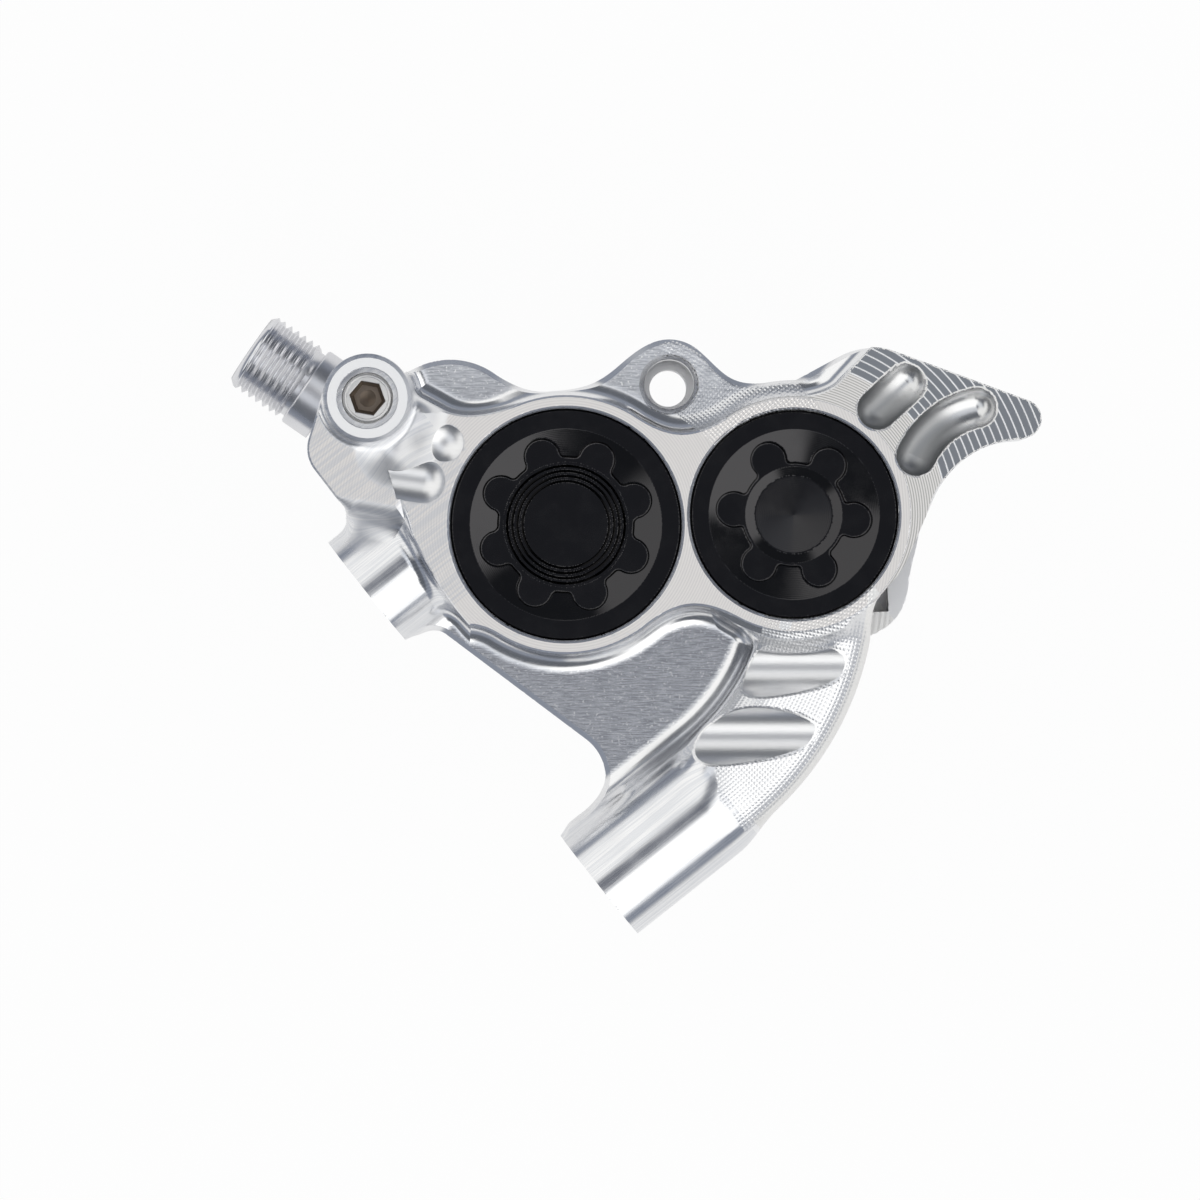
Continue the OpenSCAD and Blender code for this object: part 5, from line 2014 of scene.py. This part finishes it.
def build_grain(name: str) -> None:
    """Builds streaks along one direction of the face.

    Args:
        name: Name of the group.
    """
    kinds = {"Coord": "Vector", "Along": "Vector", "Across": "Vector", "Fine": "Float", "Long": "Float"}
    kit, given, result = shared_group(name, tuple(kinds.items()), (("Height", "Float"),))
    join = kit.node("ShaderNodeCombineXYZ")
    along = kit.vector("DOT_PRODUCT", given.outputs["Coord"], given.outputs["Along"])
    across = kit.vector("DOT_PRODUCT", given.outputs["Coord"], given.outputs["Across"])
    kit.join(kit.math("MULTIPLY", along, given.outputs["Long"]), join.inputs[0])
    kit.join(kit.math("MULTIPLY", across, given.outputs["Fine"]), join.inputs[1])
    kit.join(kit.noise(join.outputs[0], 1.0, 4.0, 0.65), result.inputs["Height"])


class AlloyMasks:
    """Where on the body each kind of cut lies, as sockets of one material.

    Attributes:
        rim: Bevels along the beak's slots and edge, painted as bright highlights.
        slots: The beak's two slots.
        glossy: A ramp from a slot's near end to its far end. It makes the slot glossier and paints it
            lighter, as painted light.
        cuts: The other short grooves.
        arm: The arm's milled face.
        ring: The ring faces and the raised plate.
        ledge: The humps, the pin boss and the web.
        boss: The face of the bleed boss.
        beak: The wide steps of the beak, darkened as painted shade.
        near: Its finely turned part, beside the small tower.
        line: The edges of its steps, painted as white highlights on the wide steps and as dark shadows of
            the step walls on the finely turned part.
        port: Surroundings of the hose port.
        corner: The worn corner under the large tower.
        outside: The outer flank of the arm.
        behind: What lies further back than the outer half's middle.
        tubes: The two tubes.
    """

    def __init__(self, kit: NodeKit) -> None:
        """Finds all the places.

        Args:
            kit: The material's tree.
        """
        self.kit = kit
        source = kit.node("ShaderNodeTexCoord")
        self.coord, self.normal = source.outputs["Object"], source.outputs["Normal"]
        self.place = kit.split(self.coord)
        zones = kit.node("ShaderNodeSeparateColor")
        marks = kit.node("ShaderNodeAttribute", attribute_name="zones")
        kit.join(marks.outputs["Color"], zones.inputs[0])
        slots, self.cuts, self.arm = zones.outputs[:3]
        self.rim = kit.math("GREATER_THAN", marks.outputs["Alpha"], 0.5)
        self.slots = kit.math("GREATER_THAN", slots, 0.2)
        self.glossy = kit.range(slots, 0.4, 1.0, 0.0, 1.0)
        place = {"Coord": self.coord, "Normal": self.normal, "Width": 0.08 * MM}
        self.ring, self.ledge, self.boss = (
            Effects.LEVEL.use(kit, Level=y * MM, **place).outputs[0]
            for y in (CaliperBody.ring_y, CaliperBody.ledge_y, CaliperBody.bleed_y)
        )
        self.beak, self.near, self.line = self.terraces()
        self.port = kit.range(kit.away(self.coord, (-26.5, -7, 11.5)), 4.5 * MM, 7.5 * MM, 1.0, 0.0)
        self.corner = kit.range(kit.away(self.coord, (-23.5, -6.5, 4.2)), 3.2 * MM, 5.2 * MM, 1.0, 0.0)
        self.behind = kit.math("GREATER_THAN", self.place[1], 8.0 * MM)
        self.outside = self.arm_flank()
        low = kit.math("LESS_THAN", self.place[2], 14 * MM)
        self.tubes = kit.product(kit.math("GREATER_THAN", kit.math("ABSOLUTE", self.place[0]), 11 * MM), low)

    def arm_flank(self) -> Socket:
        """Finds the outer flank of the arm.

        Returns:
            Its mask.
        """
        kit, (x, _, z) = self.kit, self.place
        bend = kit.away(self.coord, (CaliperBody.bend_at[0], 0, CaliperBody.bend_at[1]), flat=True)
        return kit.product(
            kit.math("GREATER_THAN", bend, (CaliperBody.bend_r + 3.8) * MM),
            kit.math("GREATER_THAN", x, 9 * MM),
            kit.math("GREATER_THAN", z, 14.5 * MM),
            kit.math("LESS_THAN", z, 36 * MM),
        )

    def terraces(self) -> tuple[Socket, Socket, Socket]:
        """Finds the top of the beak and its step lines again, from the rules that shape them.

        Returns:
            The masks of the wide steps, of the finely turned part and of the step lines.
        """
        kit = self.kit
        axis = (SMALL.at[0], 0, SMALL.at[1])
        r = kit.math("DIVIDE", kit.away(self.coord, axis, flat=True), MM)
        past = kit.math("MAXIMUM", kit.math("SUBTRACT", r, SMALL.tower_r - 0.3), 0.0)
        root = kit.math("SQRT", kit.math("ADD", kit.math("MULTIPLY", past, 0.058), 0.16))
        level = kit.math("MULTIPLY_ADD", kit.math("SUBTRACT", root, 0.4), 0.22 / 0.029, CaliperBody.ring_y)
        off = kit.math("SUBTRACT", kit.math("DIVIDE", self.place[1], MM), level)
        top = kit.product(
            kit.math("LESS_THAN", kit.split(self.normal)[1], -0.62),
            kit.math("GREATER_THAN", r, SMALL.tower_r - 0.15),
            kit.math("GREATER_THAN", self.place[2], 35.0 * MM),
            kit.math("LESS_THAN", kit.math("ABSOLUTE", off), 0.24),
        )
        beak = kit.math("MULTIPLY", top, kit.math("GREATER_THAN", r, CaliperBody.first_terrace))
        near = kit.math("SUBTRACT", top, beak)
        wide = kit.math("SUBTRACT", r, CaliperBody.first_terrace)
        wide = kit.math("FRACT", kit.math("DIVIDE", wide, CaliperBody.terrace_w))
        wide = kit.math("MULTIPLY", beak, kit.range(wide, 0.16, 0.24, 1.0, 0.0))
        fine = kit.math("FRACT", kit.math("DIVIDE", kit.math("SUBTRACT", r, SMALL.tower_r), 0.23))
        fine = kit.math("MULTIPLY", near, kit.range(kit.math("PINGPONG", fine, 0.5), 0.12, 0.3, 1.0, 0.0))
        return beak, near, kit.math("MAXIMUM", wide, fine)


class AlloyPatterns:
    """The marks that cutters and tools left on the body, as sockets of one material.

    Attributes:
        streaks: Streaks along the bolt line of the photographed side.
        drawn: Faint lines along the tubes.
        rings: Rings round the large bore.
        edge_lines: Lines along the arm's flank.
        wide: Slow changes over the whole metal.
        specks: Small bright specks.
        crossed: Rows of small hollows on the arm.
        rise: Height in the picture over the frame's origin, in metres.
    """

    def __init__(self, kit: NodeKit, coord: Socket) -> None:
        """Makes the patterns.

        Args:
            kit: The material's tree.
            coord: Object coordinates.
        """
        along, across = (ACROSS[0], 0.0, ACROSS[1]), (-ACROSS[1], 0.0, ACROSS[0])
        grain, turned_rings = Effects.GRAIN, Effects.TURNED
        fine = grain.use(kit, Coord=coord, Along=along, Across=across, Fine=9000.0, Long=700.0)
        long = grain.use(kit, Coord=coord, Along=(0, 0, 1), Across=(1, 0.6, 0), Fine=4200.0, Long=60.0)
        axis = (LARGE.at[0] * MM, 0, LARGE.at[1] * MM)
        bend = (CaliperBody.bend_at[0] * MM, 0, CaliperBody.bend_at[1] * MM)
        self.streaks, self.drawn = fine.outputs[0], long.outputs[0]
        self.rings = turned_rings.use(kit, Coord=coord, Centre=axis, Pitch=0.24 * MM).outputs[0]
        self.edge_lines = turned_rings.use(kit, Coord=coord, Centre=bend, Pitch=0.5 * MM).outputs[0]
        self.wide = kit.noise(coord, 220.0, 3.0, 0.55)
        self.specks = kit.range(kit.noise(coord, 5200.0, 2.0, 0.5), 0.6, 0.72, 0.0, 1.0)
        self.crossed = self.cross_milled(kit, coord, bend)
        self.rise = kit.vector("DOT_PRODUCT", coord, across)

    @staticmethod
    def cross_milled(kit: NodeKit, coord: Socket, bend: Point3) -> Socket:
        """Makes rows of small round hollows that follow the bend of the arm.

        Args:
            kit: The material's tree.
            coord: Object coordinates.
            bend: Middle of the bend, in metres.

        Returns:
            Their height.
        """
        x, _, z = kit.split(kit.vector("SUBTRACT", coord, bend))
        out = kit.math("SQRT", kit.math("ADD", kit.math("MULTIPLY", x, x), kit.math("MULTIPLY", z, z)))
        turn = kit.math("MULTIPLY", kit.math("ARCTAN2", z, x), CaliperBody.bend_r * MM)
        waves = [kit.math("SINE", kit.math("MULTIPLY", v, FULL_TURN / (0.33 * MM))) for v in (out, turn)]
        return kit.math("MULTIPLY", kit.math("ADD", waves[0], 1.0), kit.math("ADD", waves[1], 1.0))


@dataclass(frozen=True)
class MilledAlloy:
    """The bright aluminium of the body: satin ring faces, streaked web, terraced beak and polished rounds.

    Attributes:
        name: Name of the material.
        colour: Colour of the metal.
        satin: Roughness of the ring faces.
        streaked: Roughness of the web.
        polished: Roughness of the rounds.
    """

    name: str = "milled_alloy"
    colour: Point3 = (0.9, 0.9, 0.905)
    satin: float = 0.5
    streaked: float = 0.27
    polished: float = 0.18

    def build(self) -> bpy.types.Material:
        """Makes the material.

        Returns:
            The material.
        """
        mat, kit, bsdf = new_finish(self.name)
        bsdf.inputs["Metallic"].default_value = 1.0
        masks = AlloyMasks(kit)
        patterns = AlloyPatterns(kit, masks.coord)
        kit.join(self.roughness(kit, masks, patterns), bsdf.inputs["Roughness"])
        kit.join(self.tint(kit, masks, patterns), bsdf.inputs["Base Color"])
        kit.join(self.relief(kit, masks, patterns), bsdf.inputs["Normal"])
        return mat

    def roughness(self, kit: NodeKit, m: AlloyMasks, p: AlloyPatterns) -> Socket:
        """Works out the roughness.

        Args:
            kit: The material's tree.
            m: The places of the cuts.
            p: The marks of the tools.

        Returns:
            The roughness.
        """
        rough = kit.range(p.wide, 0.3, 0.7, self.polished * 0.8, self.polished * 1.3)
        rough = kit.math("ADD", rough, kit.math("MULTIPLY", kit.math("SUBTRACT", p.drawn, 0.5), 0.12))
        ledge = kit.range(p.rise, 10 * MM, 19 * MM, self.streaked, 0.42)
        shiny = kit.range(m.glossy, 0.0, 1.0, 0.44, 0.24)
        steps = [(m.port, 0.36), (m.corner, 0.5), (m.outside, 0.45), (m.ledge, ledge), (m.ring, self.satin)]
        steps += [(m.boss, 0.6), (m.beak, 0.3), (m.near, 0.5), (m.line, 0.55), (m.slots, shiny)]
        steps += [(m.cuts, 0.3), (m.arm, 0.36), (m.rim, 0.65), (m.behind, 0.46)]
        for mask, value in steps:
            rough = kit.blend(mask, rough, value)
        return rough

    def tint(self, kit: NodeKit, m: AlloyMasks, p: AlloyPatterns) -> Socket:
        """Works out the colour. It paints shade on the web and the wide steps of the beak, light and shade
        on the step lines and the slots, and highlights on the rims.

        Args:
            kit: The material's tree.
            m: The places of the cuts.
            p: The marks of the tools.

        Returns:
            The colour.
        """
        white = (1, 1, 1, 1)
        # Web: the streaks are milling grain, and their dark blue-grey tone is painted shade for the web's
        # dim reflection.
        shade = kit.range(p.streaks, 0.35, 0.65, 0.0, 1.0)
        shade = kit.mix(shade, (0.46, 0.475, 0.51, 1), (0.8, 0.81, 0.84, 1))
        lines = kit.math("MULTIPLY", m.tubes, kit.range(p.drawn, 0.42, 0.6, 0.5, 0.0))
        layers = (
            (m.ring, kit.mix(p.rings, (0.9, 0.872, 0.845, 1), (0.8, 0.775, 0.755, 1))),
            (lines, (0.62, 0.64, 0.68, 1)),
            (m.outside, (0.93, 0.92, 0.9, 1)),
            (m.ledge, kit.mix(p.specks, shade, white)),
            (m.boss, white),
            # Wide steps: the alloy darkened to blue-grey, painted shade for the dim reflection of their
            # level faces.
            (m.beak, (0.38, 0.4, 0.43, 1)),
            (m.near, (0.9, 0.88, 0.855, 1)),
            # Step lines: painted highlights in white on the wide steps, painted shadows of the step walls in
            # dark grey on the finely turned part.
            (m.line, kit.mix(m.near, white, (0.56, 0.55, 0.53, 1))),
            # Slots: painted shade at the near end, turning into painted light at the far end.
            (m.slots, kit.mix(m.glossy, (0.4, 0.405, 0.41, 1), (0.76, 0.76, 0.76, 1))),
            # Rims: near white, a painted highlight along the bevels.
            (m.rim, (1, 0.99, 0.97, 1)),
            (m.cuts, kit.mix(p.streaks, (0.78, 0.78, 0.78, 1), (0.92, 0.92, 0.92, 1))),
        )
        tint = kit.mix(p.wide, (*self.colour, 1), (*(0.94 * c for c in self.colour), 1))
        for mask, colour in layers:
            tint = kit.mix(mask, tint, colour)
        return tint

    def relief(self, kit: NodeKit, m: AlloyMasks, p: AlloyPatterns) -> Socket:
        """Works out the normal, which stays level on the steps of the beak.

        Args:
            kit: The material's tree.
            m: The places of the cuts.
            p: The marks of the tools.

        Returns:
            The normal.
        """
        streaky = kit.math("MULTIPLY", kit.math("MAXIMUM", m.ledge, m.cuts), 0.8)
        height = kit.math("MULTIPLY", p.wide, 0.25)
        for wave, weight in (
            (p.streaks, streaky),
            (p.rings, kit.math("MULTIPLY", m.ring, 0.3)),
            (p.drawn, 0.12),
            (p.edge_lines, kit.math("MULTIPLY", m.outside, 1.2)),
            (p.crossed, kit.math("MULTIPLY", m.arm, 1.6)),
        ):
            height = kit.math("MULTIPLY_ADD", wave, weight, height)
        flat = kit.node("ShaderNodeMix", data_type="VECTOR")
        kit.join(kit.math("MAXIMUM", m.beak, m.near), flat.inputs["Factor"])
        kit.join(kit.bump(height, 0.35, 0.02), flat.inputs[4])
        kit.join((0.0, -1.0, 0.0), flat.inputs[5])
        return flat.outputs[1]


@dataclass(frozen=True)
class BlackAnodised:
    """The gloss black of one cap, with turned rings about its axis."""

    name: str
    centre: Point2
    colour: Point3 = (0.057, 0.056, 0.058)
    rough: float = 0.1

    def build(self) -> bpy.types.Material:
        """Makes the material.

        Returns:
            The material.
        """
        mat, kit, bsdf = new_finish(self.name)
        bsdf.inputs["Base Color"].default_value = (*self.colour, 1)
        bsdf.inputs["Metallic"].default_value = 1.0
        coord = kit.node("ShaderNodeTexCoord").outputs["Object"]
        centre = (self.centre[0] * MM, 0.0, self.centre[1] * MM)
        rings = Effects.TURNED.use(kit, Coord=coord, Centre=centre, Pitch=0.16 * MM)
        wide = kit.noise(coord, 500.0, 4.0, 0.6)
        kit.join(kit.range(wide, 0.35, 0.65, self.rough * 0.8, self.rough * 1.5), bsdf.inputs["Roughness"])
        kit.join(kit.bump(rings.outputs["Height"], 0.15, 0.004), bsdf.inputs["Normal"])
        return mat


def main() -> None:
    """Builds all the pieces and the studio."""
    Studio().build()
    alloy = MilledAlloy().build()
    mouth = (BleedScrew.at[0], BleedScrew.face_y + 0.28, BleedScrew.at[1])
    screw = PlainMetal("screw_steel", (0.93, 0.92, 0.9), 0.4, pit=(mouth, 1.72)).build()
    stub = PlainMetal("stub_steel", (0.84, 0.84, 0.86), 0.24).build()
    steel = PlainMetal("pad_steel", (0.95, 0.95, 0.96), 0.5, 0.05).build()
    chrome = PlainMetal("piston_steel", (0.75, 0.75, 0.76), 0.18).build()
    lining = PlainMetal("friction_lining", (0.06, 0.055, 0.05), 0.8, 0.2, 0.0).build()
    rubber = PlainMetal("seal_rubber", (0.02, 0.02, 0.02), 0.55, 0.03, 0.0).build()

    body = CaliperBody().build()
    body.data.materials.append(alloy)
    pieces = [(body, "caliper", "alloy_polished", ["caliper_body"])]
    for side, sign in (("left", -1), ("right", 1)):
        obj = BossThread(f"boss_thread_{side}", sign * CaliperBody.boss_x).build(alloy)
        pieces.append((obj, "caliper", "alloy_polished", []))
    caps = (
        BoreCap("large_cap", LARGE, 8, 6.45, 1.6, 71.0, 8.6, 6.1, 3.55),
        BoreCap("small_cap", SMALL, 6, 5.4, 1.6, 46.6, 7.65, 4.65, 0.0),
    )
    for cap, node in zip(caps, ("large_bore_cap", "small_bore_cap")):
        black = BlackAnodised(f"black_{cap.name}", cap.bore.at).build()
        pieces.append((cap.build(black), "caliper", "alloy_black", [node]))
    pieces.append((HoseFitting().build(stub), "caliper", "fitting_metal", ["hose_fitting"]))
    pieces.append((BleedScrew().build(screw), "bleed_screw", "screw_steel", ["bleed_screw"]))
    for face in Face:
        side = face.name.lower()
        for size, bore in (("large", LARGE), ("small", SMALL)):
            name = f"{side}_{size}_piston"
            obj = Piston(f"{name}_cup", bore, face).build(chrome)
            pieces.append((obj, name, "piston_steel", [name]))
        plate, block = BrakePad(face).build(steel, lining)
        pieces.append((plate, f"{side}_pad", "backplate_steel", [f"{side}_pad_backplate"]))
        pieces.append((block, f"{side}_pad", "friction_lining", [f"{side}_pad_lining"]))
    for obj, body_name, slot, nodes in pieces:
        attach(obj, body_name)
        if nodes:
            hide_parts(*nodes)
        log.info("%s rides on %s and replaces %s", obj.name, body_name, ", ".join(nodes) or "nothing")
    for name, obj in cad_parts.items():
        if "seal" in name or "wiper" in name or "oring" in name:
            obj.data.materials.clear()
            obj.data.materials.append(rubber)


if __name__ == "__main__":
    main()
